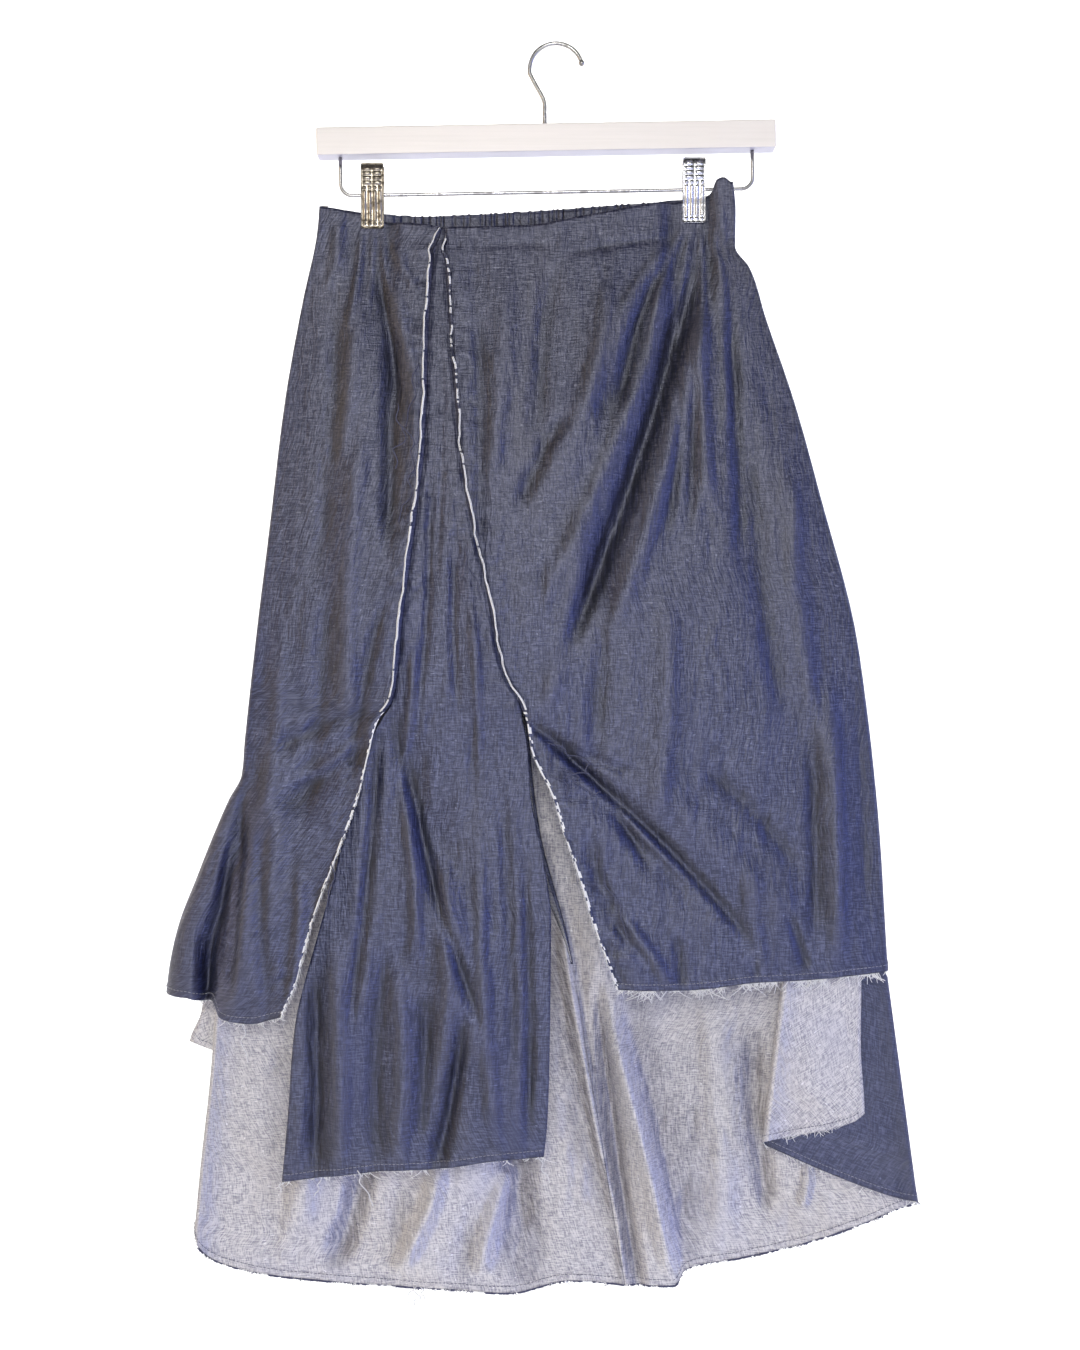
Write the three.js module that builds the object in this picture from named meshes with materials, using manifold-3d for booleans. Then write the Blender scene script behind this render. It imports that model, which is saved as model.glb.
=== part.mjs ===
// Asymmetric skirt of light cotton chambray on a clip hanger.
// Millimetres, +Z up. The front faces -Y. The origin is the inner crown of the
// hanger's hook, so every height below is written as a drop under that point.
import * as THREE from 'three';
import { mergeVertices } from 'three/addons/utils/BufferGeometryUtils.js';
import Module from 'manifold-3d';

const wasm = await Module();
wasm.setup();

// Driving dimensions of the cloth.
const CLOTH = 1.2; // thickness of every cloth wall
const SEAM_GAP = 0.3; // clearance between pieces that are sewn or pressed together
const PRESSED = 0.75; // distance from the middle plane to a layer that is pressed flat
const WAIST_SIDE_DROP = 104; // highest point of the waist, right of the right clip
const CASING_FOOT = { left: 152.5, right: 150 }; // lower edge of the casing at each side
const SEAM_LAP = 1.9; // how far the back's side edges lie behind the front's
const GATHERS = 56; // gathers of the elastic casing, side seam to side seam
const GATHER_SWING = 1.3; // how far a gather stands out from the casing's own line
const SLIT_DROP = 519; // where both front seams end and the slits begin
const SEAM_RIDGE = 5; // height of the raw seam allowance that stands out
const SEAM_RIDGE_THICKNESS = 1.8; // its two layers together
const SIDE_FULLNESS = 2.6; // how squarely the front and back fill out towards the sides

// How the clips press the cloth: the drops between which it opens out again, and how
// far the flat place reaches to the left and right of a clip and then fades.
const PRESS = { from: 146, to: 235, left: 16, right: 10.5, fade: 14 };
// Beyond the right clip the waist stands up in front of the rod.
const LEAN = { y: -6, left: 116.8, right: 125.5, from: 126, to: 165 };

// Driving dimensions of the hanger.
const BAR = { length: 357, height: 21.7, depth: 18, edge: 1.2 };
const BAR_CENTRE = { x: -7.8, drop: 73.7 };
const HANGER_TILT = 1.01 * (Math.PI / 180); // the right end hangs higher
const HOOK = { wire: 3.5, radius: 20.7, end: 15, left: 188, shankX: -8.9, tip: 2.5 };
const ROD = { wire: 3, halfSpan: 160.6, below: 40.7, bend: 9 };
const CLIP = { width: 17.5, plate: 1, above: 24, below: 26.5, relief: 0.8, sunk: 0.5 };
const EAR = { thick: 0.8, deep: 6.6, high: 9, y: -1.2, frontX: 8, backX: 6.8 };
const LEFT_CLIP_X = -143;
const RIGHT_CLIP_X = 107.5;

// A table is a list of column names and a row of numbers for each section.
const table = (columns, rows) =>
  rows.map((row) => Object.fromEntries(columns.map((name, i) => [name, row[i]])));

// Left side of the skirt: the outline, the roundness of the side, how far back its
// middle lies, and where the side seam runs behind it.
const LEFT_SIDE = table(
  ['drop', 'x', 'round', 'back', 'seam'],
  [
    [125, -184, 2, 0, -178],
    [152, -187, 2, 0, -181],
    [198, -197, 2, 0, -191],
    [276, -211, 2.5, 0, -205],
    [370, -222.5, 3, 0, -215],
    [464, -234, 3, 0, -226],
    [542, -242.5, 3.5, 0, -234],
    [569, -245, 4.5, 0.5, -235],
    [588, -255, 6, 1.5, -243],
    [620, -269, 9, 3, -254],
    [651, -281.5, 12, 5, -263],
    [682, -294, 15, 8, -272],
    [713, -302, 17, 10, -278],
    [742, -305.5, 19, 11, -281],
    [760, -306, 19, 11, -283],
    [784, -306, 19, 11, -292],
    [990, -306, 19, 11, -292],
  ],
);

// Right side of the skirt, with the step under the waistband.
const RIGHT_SIDE = table(
  ['drop', 'x', 'round', 'back', 'seam'],
  [
    [104, 136.5, 2, 0, 131],
    [129, 139.2, 2, 0, 133],
    [157, 139.4, 2, 0, 133],
    [173, 150.5, 2, 0, 144],
    [213, 163.5, 2.2, 0, 157],
    [276, 185, 2.5, 0, 178],
    [354, 206.7, 3, 0, 199],
    [448, 231.5, 3.2, -0.5, 222],
    [510, 241, 3.4, -1, 229],
    [604, 251, 3.7, -1.5, 234],
    [698, 256.8, 4, -2, 238],
    [722, 258.3, 4, -2, 239],
    [780, 260, 4, -2, 238.5],
    [834, 260, 4, -2, 241.5],
    [990, 260, 4, -2, 241.5],
  ],
);

// The two front seams, and under the slit drop the edges that hang free there.
const FRONT_EDGES = table(
  ['drop', 'left', 'centreLeft', 'centreRight', 'right'],
  [
    [147, -89.6, -89.3, -87.4, -87.1],
    [164, -94.3, -94, -86.6, -86.3],
    [233, -98.8, -98.5, -81.6, -81.3],
    [310, -101, -100.7, -75.1, -74.8],
    [356, -106, -105.7, -69.3, -69],
    [406, -112.6, -112.3, -57.8, -57.5],
    [452, -118.8, -118.5, -48.9, -48.6],
    [490, -122, -121.7, -39.8, -39.5],
    [512, -127, -126.7, -28.3, -28],
    [525, -136.5, -134.5, -26, -23.2],
    [550, -144, -149, -21.4, -18.6],
    [585, -152.5, -159, -19.6, -2.5],
    [610, -161, -165, -14.5, 5],
    [641, -173, -170, -8.3, 16],
    [679, -187, -180.4, -4, 27.5],
    [731, -201, -195, -4.4, 46],
    [757, -211, -201, -4.7, 52],
    [834, -211, -207.6, -6.8, 52],
    [885, -211, -212.3, -12.8, 52],
  ],
);

// Waist edges of the front and back along the width.
const WAIST = table(
  ['x', 'front', 'back'],
  [
    [-184, 126, 124.5],
    [-164, 129.3, 127.5],
    [-151, 132, 129.7],
    [-134, 138, 130.8],
    [-103, 140.6, 131.2],
    [-87, 143, 130.6],
    [-26, 142, 127.5],
    [27, 133, 123.8],
    [80, 123.5, 120.3],
    [100, 122, 119.6],
    [116.5, 118.6, 117],
    [122, 115.2, 114.6],
    [126.5, 106.5, 104.6],
    [132, 104.8, 103.2],
    [137, 109, 107.5],
  ],
);

// Hem of the two short front panels along their width, from the slit to the side.
const LEFT_HEM = table(
  ['across', 'drop'],
  [
    [0, 753.5],
    [0.12, 756.5],
    [0.25, 759.3],
    [0.45, 757.8],
    [0.53, 755],
    [0.58, 747],
    [0.62, 743.5],
    [0.7, 744.3],
    [0.82, 741.5],
    [0.9, 739],
    [1, 748],
  ],
);
const RIGHT_HEM = table(
  ['across', 'drop'],
  [
    [0, 731.5],
    [0.2, 732.5],
    [0.45, 727],
    [0.55, 726.5],
    [0.8, 722],
    [0.9, 719.5],
    [1, 719],
  ],
);
const CENTRE_HEM = table(
  ['across', 'drop'],
  [
    [0, 883],
    [0.22, 877],
    [0.4, 872.5],
    [0.6, 871],
    [0.8, 865],
    [1, 861.5],
  ],
);

// The long back: its centre seam, and the hem along each half from that seam.
const BACK_SEAM = table(
  ['drop', 'x'],
  [
    [126, -44],
    [431, -28],
    [613, -13],
    [701, 9.7],
    [792, 24.8],
    [976, 55],
  ],
);
const BACK_RIGHT_HEM = table(
  ['across', 'drop'],
  [
    [0, 977],
    [0.09, 977.5],
    [0.115, 965],
    [0.22, 955],
    [0.33, 943],
    [0.44, 925],
    [0.5, 912],
    [0.54, 906],
    [0.58, 902],
    [0.68, 882],
    [0.77, 861],
    [0.79, 857],
    [0.83, 853],
    [0.98, 840],
    [1, 834],
  ],
);
const BACK_LEFT_HEM = table(
  ['across', 'drop'],
  [
    [0, 977],
    [0.08, 974],
    [0.17, 983.5],
    [0.28, 978],
    [0.45, 970],
    [0.57, 959],
    [0.62, 947],
    [0.65, 929],
    [0.69, 915],
    [0.78, 858],
    [0.83, 822],
    [0.87, 810],
    [0.98, 788],
    [1, 783],
  ],
);

// Where the back folds at each side, at the level where the flute stands fully out.
// outerY is the depth of its first fold, turn the fold's radius and direction, drift
// how much deeper the middle layer ends than it starts. settle says how soon the run
// from the centre seam comes to the first fold's depth, and spread how late the folds
// widen below the apex.
const RIGHT_FLUTE = {
  apex: 400,
  full: 728,
  firstFold: table(['drop', 'x'], [[728, 261], [795, 270], [907, 285]]),
  secondFold: table(['drop', 'x'], [[728, 177.5], [770, 172], [857, 162]]),
  outerY: 18,
  turn: -4,
  drift: 0,
  settle: 2.5,
  spread: 1,
};
const LEFT_FLUTE = {
  apex: 560,
  full: 748,
  firstFold: table(['drop', 'x'], [[748, -268], [812, -273], [875, -280], [928, -285]]),
  secondFold: table(['drop', 'x'], [[748, -196], [928, -196]]),
  outerY: 14,
  turn: 3.4,
  drift: 2.4,
  settle: 1.5,
  spread: 1.6,
};
// Shares of a back half's width taken by its runs and turns, from the centre seam.
const RIGHT_PARTS = { run: 0.52, turn: 0.04, middle: 0.21 };
const LEFT_PARTS = { run: 0.63, turn: 0.04, middle: 0.14 };

// How far the front and the back bulge from the plane of the hanger.
const BULGE = table(
  ['drop', 'front', 'back'],
  [
    [104, 3, 3],
    [135, 4.5, 4.5],
    [200, 11, 11],
    [300, 18, 19],
    [450, 21, 23],
    [760, 19, 24],
    [990, 17, 25],
  ],
);
// How far the centre panel hangs behind the short panels.
const CENTRE_RECESS = table(
  ['drop', 'y'],
  [
    [485, 0],
    [512, 1.9],
    [530, 4],
    [560, 6.5],
    [700, 9],
    [885, 10],
  ],
);

// The largest folds: a line from one point to another, its half width, and its depth
// (positive is a trough seen from outside).
const FOLD_COLUMNS = ['x1', 'drop1', 'x2', 'drop2', 'width', 'depth'];
const RIGHT_FOLDS = table(FOLD_COLUMNS, [
  [112, 158, 15, 455, 15, 7],
  [84, 205, 28, 300, 13, 4],
  [103, 265, 84, 410, 13, 3.5],
  [134, 200, 152, 400, 14, 3],
  [60, 190, 0, 350, 18, -4],
  [-18, 528, 110, 665, 12, 4],
  [60, 560, 190, 690, 16, -4],
  [212, 510, 218, 715, 14, -5],
  [48, 690, 70, 735, 12, -3],
]);
const LEFT_FOLDS = table(FOLD_COLUMNS, [
  [-142, 170, -123, 285, 12, 4],
  [-130, 270, -125, 380, 12, 4],
  [-138, 525, -215, 600, 13, 4],
  [-215, 560, -236, 755, 16, -6],
  [-256, 590, -276, 752, 11, 17],
  [-240, 640, -252, 756, 9, -5],
]);
const CENTRE_FOLDS = table(FOLD_COLUMNS, [
  [-128, 520, -85, 640, 14, 4],
  [-140, 530, -158, 760, 13, -4],
  [-84, 650, -60, 790, 13, -5],
  [-187, 730, -186, 880, 12, 5],
  [-76, 780, -92, 872, 12, 5],
  [-40, 560, -30, 860, 12, -3],
]);
const BACK_FOLDS = table(FOLD_COLUMNS, [
  [-150, 170, -170, 620, 24, -5],
  [-90, 170, -110, 900, 26, 6],
  [-10, 200, 0, 640, 24, -5],
  [60, 200, 90, 600, 26, 5],
  [20, 640, 78, 975, 18, 8],
  [-50, 700, -20, 975, 22, -8],
  [-60, 860, -110, 975, 22, 6],
]);

// A smooth curve through a table's rows, read at a place along its first column.
function at(rows, column, place) {
  const key = Object.keys(rows[0])[0];
  const last = rows.length - 1;
  if (place <= rows[0][key]) return rows[0][column];
  if (place >= rows[last][key]) return rows[last][column];
  const i = rows.findIndex((row) => row[key] > place) - 1;
  const slope = (a, b) => (rows[b][column] - rows[a][column]) / (rows[b][key] - rows[a][key]);
  const here = slope(i, i + 1);
  const ease = (near) => (here * near <= 0 ? 0 : Math.sign(here) * Math.min(Math.abs(here + near) / 2,
    2 * Math.abs(here), 2 * Math.abs(near)));
  const start = i > 0 ? ease(slope(i - 1, i)) : here;
  const end = i + 2 <= last ? ease(slope(i + 1, i + 2)) : here;
  const width = rows[i + 1][key] - rows[i][key];
  const t = (place - rows[i][key]) / width;
  const [t2, t3] = [t * t, t * t * t];
  return (2 * t3 - 3 * t2 + 1) * rows[i][column] + (t3 - 2 * t2 + t) * width * start
    + (3 * t2 - 2 * t3) * rows[i + 1][column] + (t3 - t2) * width * end;
}

const mix = (a, b, t) => a + (b - a) * t;
const step = (from, to, value) => THREE.MathUtils.smoothstep(value, from, to);

// Sum of the fold lines at a point: a bell across each line, fading at both ends.
function folds(rows, x, drop) {
  let sum = 0;
  for (const { x1, drop1, x2, drop2, width, depth } of rows) {
    const [dx, dd] = [x2 - x1, drop2 - drop1];
    const length = Math.hypot(dx, dd);
    const along = ((x - x1) * dx + (drop - drop1) * dd) / (length * length);
    const off = Math.abs((x - x1) * dd - (drop - drop1) * dx) / length;
    const fade = step(-0.12, 0.25, along) * (1 - step(0.8, 1.12, along));
    sum += depth * fade * Math.exp(-((off / width) ** 2));
  }
  return sum;
}

// How strongly a clip presses the two layers together at a point, from 0 to 1.
function pressed(x, drop) {
  const fade = 1 - step(PRESS.from, PRESS.to, drop);
  const beside = (clip) => Math.max(clip - PRESS.left - x, x - clip - PRESS.right);
  const near = (clip) => 1 - step(0, PRESS.fade, beside(clip));
  return fade * Math.max(near(LEFT_CLIP_X), near(RIGHT_CLIP_X));
}

// How far the waist beyond the right clip stands forward at a point.
const lean = (x, drop) =>
  LEAN.y * step(LEAN.left, LEAN.right, x) * (1 - step(LEAN.from, LEAN.to, drop));

// Place across the width from -1 at the left turn to 1 at the right one.
function acrossShare(x, drop) {
  const left = at(LEFT_SIDE, 'x', drop) + at(LEFT_SIDE, 'round', drop);
  const right = at(RIGHT_SIDE, 'x', drop) - at(RIGHT_SIDE, 'round', drop);
  return THREE.MathUtils.clamp((2 * x - left - right) / (right - left), -1, 1);
}

// Depth of the front or back layer: round at the sides, bulged between them, and
// pressed flat under the clips.
function layerY(layer, x, drop) {
  const sign = layer === 'front' ? -1 : 1;
  const share = acrossShare(x, drop);
  const round = mix(at(LEFT_SIDE, 'round', drop), at(RIGHT_SIDE, 'round', drop), (share + 1) / 2);
  const middle = at(share < 0 ? LEFT_SIDE : RIGHT_SIDE, 'back', drop) * share ** 2;
  const bulge = at(BULGE, layer, drop) * (1 - Math.abs(share) ** SIDE_FULLNESS);
  return mix(middle + sign * (round + bulge), sign * PRESSED, pressed(x, drop)) + lean(x, drop);
}

// Even shares from one share to another.
const shares = (count, from = 0, to = 1) =>
  Array.from({ length: count + 1 }, (_, i) => mix(from, to, i / count));
// Rows down a panel: closer together at the waist, where the outline steps.
const FRONT_ROWS = [0, 0.035, 0.065, 0.087, 0.11, 0.14, 0.185, ...shares(12, 0.24, 1)];
const BACK_ROWS = [0, 0.012, 0.033, 0.06, 0.1, ...shares(14, 0.16, 1)];

// A closed wall of cloth: a grid of middle points moved out and in by half the
// thickness along the surface's own normal, and closed round its four edges.
function wall(across, down, pointAt, thickness = CLOTH) {
  const columns = across.length - 1;
  const rows = down.length - 1;
  const grid = across.map((share) => down.map((depth) => pointAt(share, depth)));
  const [outer, inner] = [[], []];
  for (let i = 0; i <= columns; i += 1) {
    for (let j = 0; j <= rows; j += 1) {
      const sideways = grid[Math.min(i + 1, columns)][j].clone().sub(grid[Math.max(i - 1, 0)][j]);
      const downwards = grid[i][Math.min(j + 1, rows)].clone().sub(grid[i][Math.max(j - 1, 0)]);
      const normal = sideways.cross(downwards).normalize().multiplyScalar(thickness / 2);
      outer.push(grid[i][j].clone().add(normal));
      inner.push(grid[i][j].clone().sub(normal));
    }
  }
  const points = [...outer, ...inner];
  const index = (i, j, side) => side * outer.length + i * (rows + 1) + j;
  const faces = [];
  const quad = (a, b, c, d) => faces.push(a, b, c, a, c, d);
  for (let i = 0; i < columns; i += 1) {
    for (let j = 0; j < rows; j += 1) {
      quad(index(i, j, 0), index(i + 1, j, 0), index(i + 1, j + 1, 0), index(i, j + 1, 0));
      quad(index(i, j, 1), index(i, j + 1, 1), index(i + 1, j + 1, 1), index(i + 1, j, 1));
    }
  }
  for (let i = 0; i < columns; i += 1) {
    quad(index(i, 0, 1), index(i + 1, 0, 1), index(i + 1, 0, 0), index(i, 0, 0));
    quad(index(i, rows, 0), index(i + 1, rows, 0), index(i + 1, rows, 1), index(i, rows, 1));
  }
  for (let j = 0; j < rows; j += 1) {
    quad(index(0, j, 0), index(0, j + 1, 0), index(0, j + 1, 1), index(0, j, 1));
    quad(index(columns, j, 1), index(columns, j + 1, 1), index(columns, j + 1, 0),
      index(columns, j, 0));
  }
  return outward(geometryOf(points, faces));
}

function geometryOf(points, faces) {
  const geometry = new THREE.BufferGeometry();
  geometry.setAttribute('position', new THREE.Float32BufferAttribute(
    points.flatMap((p) => [p.x, p.y, p.z]), 3));
  geometry.setIndex(faces);
  return geometry;
}

// Turns a closed mesh so that its faces point out.
function outward(geometry) {
  const position = geometry.getAttribute('position');
  const index = geometry.getIndex();
  const [a, b, c] = [new THREE.Vector3(), new THREE.Vector3(), new THREE.Vector3()];
  let volume = 0;
  for (let i = 0; i < index.count; i += 3) {
    a.fromBufferAttribute(position, index.getX(i));
    b.fromBufferAttribute(position, index.getX(i + 1));
    c.fromBufferAttribute(position, index.getX(i + 2));
    volume += a.dot(b.cross(c));
  }
  if (volume < 0) {
    for (let i = 0; i < index.count; i += 3) {
      const first = index.getX(i);
      index.setX(i, index.getX(i + 2));
      index.setX(i + 2, first);
    }
  }
  geometry.computeVertexNormals();
  return geometry;
}

// A short front panel: a run from its slit edge to the side, a round turn at the
// outline, and a return behind it to the side seam.
function sidePanel({ side, edge, hem, foldRows, runColumns }) {
  const sign = side === LEFT_SIDE ? -1 : 1;
  const runShare = 0.82; // part of the width in front, then in the turn
  const turnShare = 0.13;
  const calmEdge = 0.06; // the folds fade out beside the slit and before the turn
  const calmTurn = 0.8;
  const across = [
    ...runColumns.map((share) => share * runShare),
    ...shares(4, runShare, runShare + turnShare).slice(1),
    1,
  ];
  const section = (share, drop) => {
    const [out, round] = [at(side, 'x', drop), at(side, 'round', drop)];
    const middle = at(side, 'back', drop);
    const start = at(FRONT_EDGES, edge, drop);
    const turnX = out - sign * round;
    if (share <= runShare) {
      const x = mix(start, turnX, share / runShare);
      const calm = step(0, calmEdge, share) * (1 - step(calmTurn, 1, share / runShare));
      const relief = folds(foldRows, x, drop) * calm * (1 - pressed(x, drop));
      return [x, layerY('front', x, drop) + relief];
    }
    const tilt = lean(out, drop);
    if (share <= runShare + turnShare) {
      const angle = Math.PI * (share - runShare) / turnShare;
      return [turnX + sign * round * Math.sin(angle), middle - round * Math.cos(angle) + tilt];
    }
    const t = (share - runShare - turnShare) / (1 - runShare - turnShare);
    const seam = at(side, 'seam', drop) + sign * SEAM_GAP / 2;
    return [mix(turnX, seam, t), middle + round + tilt];
  };
  return wall(across, FRONT_ROWS, (share, down) => {
    const outX = at(side, 'x', WAIST_SIDE_DROP);
    const startX = at(FRONT_EDGES, edge, FRONT_EDGES[0].drop);
    const waistX = mix(startX, outX, Math.min(share / runShare, 1));
    const top = share <= runShare + turnShare / 2
      ? at(WAIST, 'front', waistX) : at(WAIST, 'back', waistX);
    const drop = mix(top, at(hem, 'drop', share), down);
    const [x, y] = section(share, drop);
    return new THREE.Vector3(x, y, -drop);
  });
}

// The long narrow panel between the two slits, hung a little behind them. Its rows
// match those of the short panels beside it, and go on from 1 to 2 below their hems.
function centrePanel(columns, lowerRows) {
  const middleX = (FRONT_EDGES[0].centreLeft + FRONT_EDGES[0].centreRight) / 2;
  const rows = [...FRONT_ROWS, ...shares(lowerRows, 1, 2).slice(1)];
  return wall(shares(columns), rows, (share, down) => {
    const besideHem = mix(at(LEFT_HEM, 'drop', 0), at(RIGHT_HEM, 'drop', 0), share);
    const drop = down <= 1
      ? mix(at(WAIST, 'front', middleX), besideHem, down)
      : mix(besideHem, at(CENTRE_HEM, 'drop', share), down - 1);
    const x = mix(at(FRONT_EDGES, 'centreLeft', drop), at(FRONT_EDGES, 'centreRight', drop), share);
    const relief = folds(CENTRE_FOLDS, x, drop) * Math.sqrt(Math.sin(Math.PI * share));
    const y = layerY('front', x, drop) + relief + at(CENTRE_RECESS, 'y', drop);
    return new THREE.Vector3(x, y, -drop);
  });
}

// One half of the back: smooth above the flute's apex, and below it folded twice
// beside the side seam. The folds open out in straight lines from the apex, where
// their layers part in depth sooner than they spread in width.
function backHalf({ side, flute, parts, hem, columns }) {
  const sign = side === LEFT_SIDE ? -1 : 1;
  const radius = Math.abs(flute.turn);
  const calmFrom = 0.75; // the back's own folds fade out over the last part of the run
  const calmSeam = 0.8; // and before the side seam
  const firstEnd = parts.run + parts.turn;
  const secondTurn = firstEnd + parts.middle;
  const secondEnd = secondTurn + parts.turn;
  const across = [
    ...shares(columns.run, 0, parts.run),
    ...shares(4, parts.run, firstEnd).slice(1),
    ...shares(columns.middle, firstEnd, secondTurn).slice(1),
    ...shares(4, secondTurn, secondEnd).slice(1),
    ...shares(columns.end, secondEnd, 1).slice(1),
  ];
  const lap = (share) => SEAM_LAP * step(secondEnd, 1, share);
  const smooth = (share, drop) => {
    const seam = at(side, 'seam', drop) - sign * SEAM_GAP / 2;
    const x = mix(at(BACK_SEAM, 'x', drop) + sign * SEAM_GAP / 2, seam, share);
    return [x, layerY('back', x, drop) + lap(share)];
  };
  const folded = (share, drop) => {
    const start = at(BACK_SEAM, 'x', drop) + sign * SEAM_GAP / 2;
    const first = at(flute.firstFold, 'x', drop) - sign * radius;
    const second = at(flute.secondFold, 'x', drop) + sign * radius;
    const startY = layerY('back', start, drop);
    const middleY = flute.outerY + 2 * flute.turn;
    const lastY = middleY + flute.drift;
    if (share <= parts.run) {
      const t = share / parts.run;
      return [mix(start, first, t), mix(startY, flute.outerY, t ** flute.settle)];
    }
    if (share <= firstEnd) {
      const angle = Math.PI * (share - parts.run) / parts.turn;
      return [first + sign * radius * Math.sin(angle),
        flute.outerY + flute.turn * (1 - Math.cos(angle))];
    }
    if (share <= secondTurn) {
      const t = (share - firstEnd) / parts.middle;
      return [mix(first, second, t), mix(middleY, lastY, t)];
    }
    if (share <= secondEnd) {
      const angle = Math.PI * (share - secondTurn) / parts.turn;
      return [second - sign * radius * Math.sin(angle), lastY + flute.turn * (1 - Math.cos(angle))];
    }
    const seam = at(side, 'seam', drop) - sign * SEAM_GAP / 2;
    const endY = lastY + 2 * flute.turn + lap(share);
    return [mix(second, seam, (share - secondEnd) / (1 - secondEnd)), endY];
  };
  return wall(across, BACK_ROWS, (share, down) => {
    const seamTop = at(side, 'seam', WAIST_SIDE_DROP);
    const waistX = mix(BACK_SEAM[0].x, seamTop, share);
    const top = casingFoot(waistX) + SEAM_GAP;
    const drop = mix(top, at(hem, 'drop', share), down);
    const weight = THREE.MathUtils.clamp((drop - flute.apex) / (flute.full - flute.apex), 0, 1);
    const [smoothX, smoothY] = smooth(share, drop);
    const [foldedX, foldedY] = weight > 0 ? folded(share, drop) : [0, 0];
    const x = mix(smoothX, foldedX, weight ** flute.spread);
    const calm = 1 - step(parts.run * calmFrom, parts.run, share) * (weight > 0 ? weight : 1);
    const y = mix(smoothY, foldedY, Math.sqrt(weight))
      - folds(BACK_FOLDS, x, drop) * calm * (1 - step(calmSeam, 1, share));
    return new THREE.Vector3(x, y, -drop);
  });
}

function casingFoot(x) {
  const left = at(LEFT_SIDE, 'seam', WAIST_SIDE_DROP);
  const right = at(RIGHT_SIDE, 'seam', WAIST_SIDE_DROP);
  return mix(CASING_FOOT.left, CASING_FOOT.right, (x - left) / (right - left));
}

// The elastic casing of the back waist, drawn up into gathers except under the clips.
function waistCasing() {
  const columns = GATHERS * 2;
  const pressDrop = 140; // a level at which the clips press
  const footSwing = 0.5; // part of the swing that is left at the casing's foot
  const fullness = 0.4; // how far the gathered casing stands behind the back
  const left = at(LEFT_SIDE, 'seam', WAIST_SIDE_DROP) + SEAM_GAP;
  const right = at(RIGHT_SIDE, 'seam', WAIST_SIDE_DROP) - SEAM_GAP;
  return wall(shares(columns), [0, 1], (share, down) => {
    const x = mix(left, right, share);
    const drop = mix(at(WAIST, 'back', x), casingFoot(x), down);
    const swing = Math.round(share * columns) % 2 ? GATHER_SWING : -GATHER_SWING;
    const free = 1 - pressed(x, pressDrop);
    const sideCalm = step(0, 0.04, share) * (1 - step(0.9, 0.95, share));
    const gather = swing * sideCalm * mix(1, footSwing, down);
    return new THREE.Vector3(x, layerY('back', x, drop) + (gather + fullness) * free, -drop);
  });
}

// The raw seam allowance that stands out along a front seam, leaning to one side.
function seamRidge(edge, topDrop, leanX) {
  const steps = 22;
  const endGap = 4; // it ends this far above the slit
  const outY = 0.75; // how far it stands forward for each unit of its height
  const corner = (Math.abs(leanX) / Math.hypot(leanX, outY)) * SEAM_RIDGE_THICKNESS / 2;
  const clearance = 0.1; // over the chords of the panel's grid
  const standOff = CLOTH / 2 + SEAM_GAP + corner + clearance;
  return wall([0, 1], shares(steps), (share, down) => {
    const drop = mix(topDrop, SLIT_DROP - endGap, down);
    const base = at(FRONT_EDGES, edge, drop) + (edge === 'left' ? SEAM_GAP : -SEAM_GAP) / 2;
    const foot = layerY('front', base, drop) - standOff;
    const height = share * SEAM_RIDGE;
    return new THREE.Vector3(base + leanX * height, foot - height * outY, -drop);
  }, SEAM_RIDGE_THICKNESS);
}

// A solid for joining and cutting, made from a closed three.js geometry.
function solid(geometry) {
  const bare = geometry.clone();
  bare.deleteAttribute('normal');
  bare.deleteAttribute('uv');
  const merged = mergeVertices(bare, 1e-4);
  return new wasm.Manifold(new wasm.Mesh({
    numProp: 3,
    vertProperties: new Float32Array(merged.getAttribute('position').array),
    triVerts: new Uint32Array(merged.getIndex().array),
  }));
}

function geometryFrom(body) {
  const mesh = body.getMesh();
  const geometry = new THREE.BufferGeometry();
  geometry.setAttribute('position', new THREE.BufferAttribute(mesh.vertProperties, 3));
  geometry.setIndex(new THREE.BufferAttribute(mesh.triVerts, 1));
  geometry.computeVertexNormals();
  return geometry;
}

// A route through points that puts a ring of the wire at each of them.
class Route extends THREE.Curve {
  constructor(points) {
    super();
    this.points = points;
  }

  getPointAt(share) {
    return this.points[Math.round(share * (this.points.length - 1))].clone();
  }

  getTangentAt(share) {
    const last = this.points.length - 1;
    const i = Math.round(share * last);
    return this.points[Math.min(i + 1, last)].clone().sub(this.points[Math.max(i - 1, 0)]).normalize();
  }
}

// A wire of round section along a line of points.
function wire(points, diameter) {
  const section = new THREE.Shape();
  section.absarc(0, 0, diameter / 2, 0, 2 * Math.PI, false);
  return new THREE.ExtrudeGeometry(section, {
    steps: points.length - 1, curveSegments: 4, bevelEnabled: false, extrudePath: new Route(points),
  });
}

// Points on an arc in the plane of the hanger, angles in degrees from +X upwards.
function arcPoints(centreX, centreZ, radius, from, to, count) {
  return Array.from({ length: count + 1 }, (_, i) => {
    const angle = THREE.MathUtils.degToRad(mix(from, to, i / count));
    return new THREE.Vector3(centreX + radius * Math.cos(angle), 0, centreZ + radius * Math.sin(angle));
  });
}

// Where the hook's wire slants back under the crown and bends into its shank.
const HOOK_SLANT = table(
  ['x', 'drop'],
  [
    [-18.6, 25.5],
    [-15.5, 31.5],
    [-11.2, 39],
    [-9.6, 42.5],
    [HOOK.shankX, 46],
  ],
);

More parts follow.
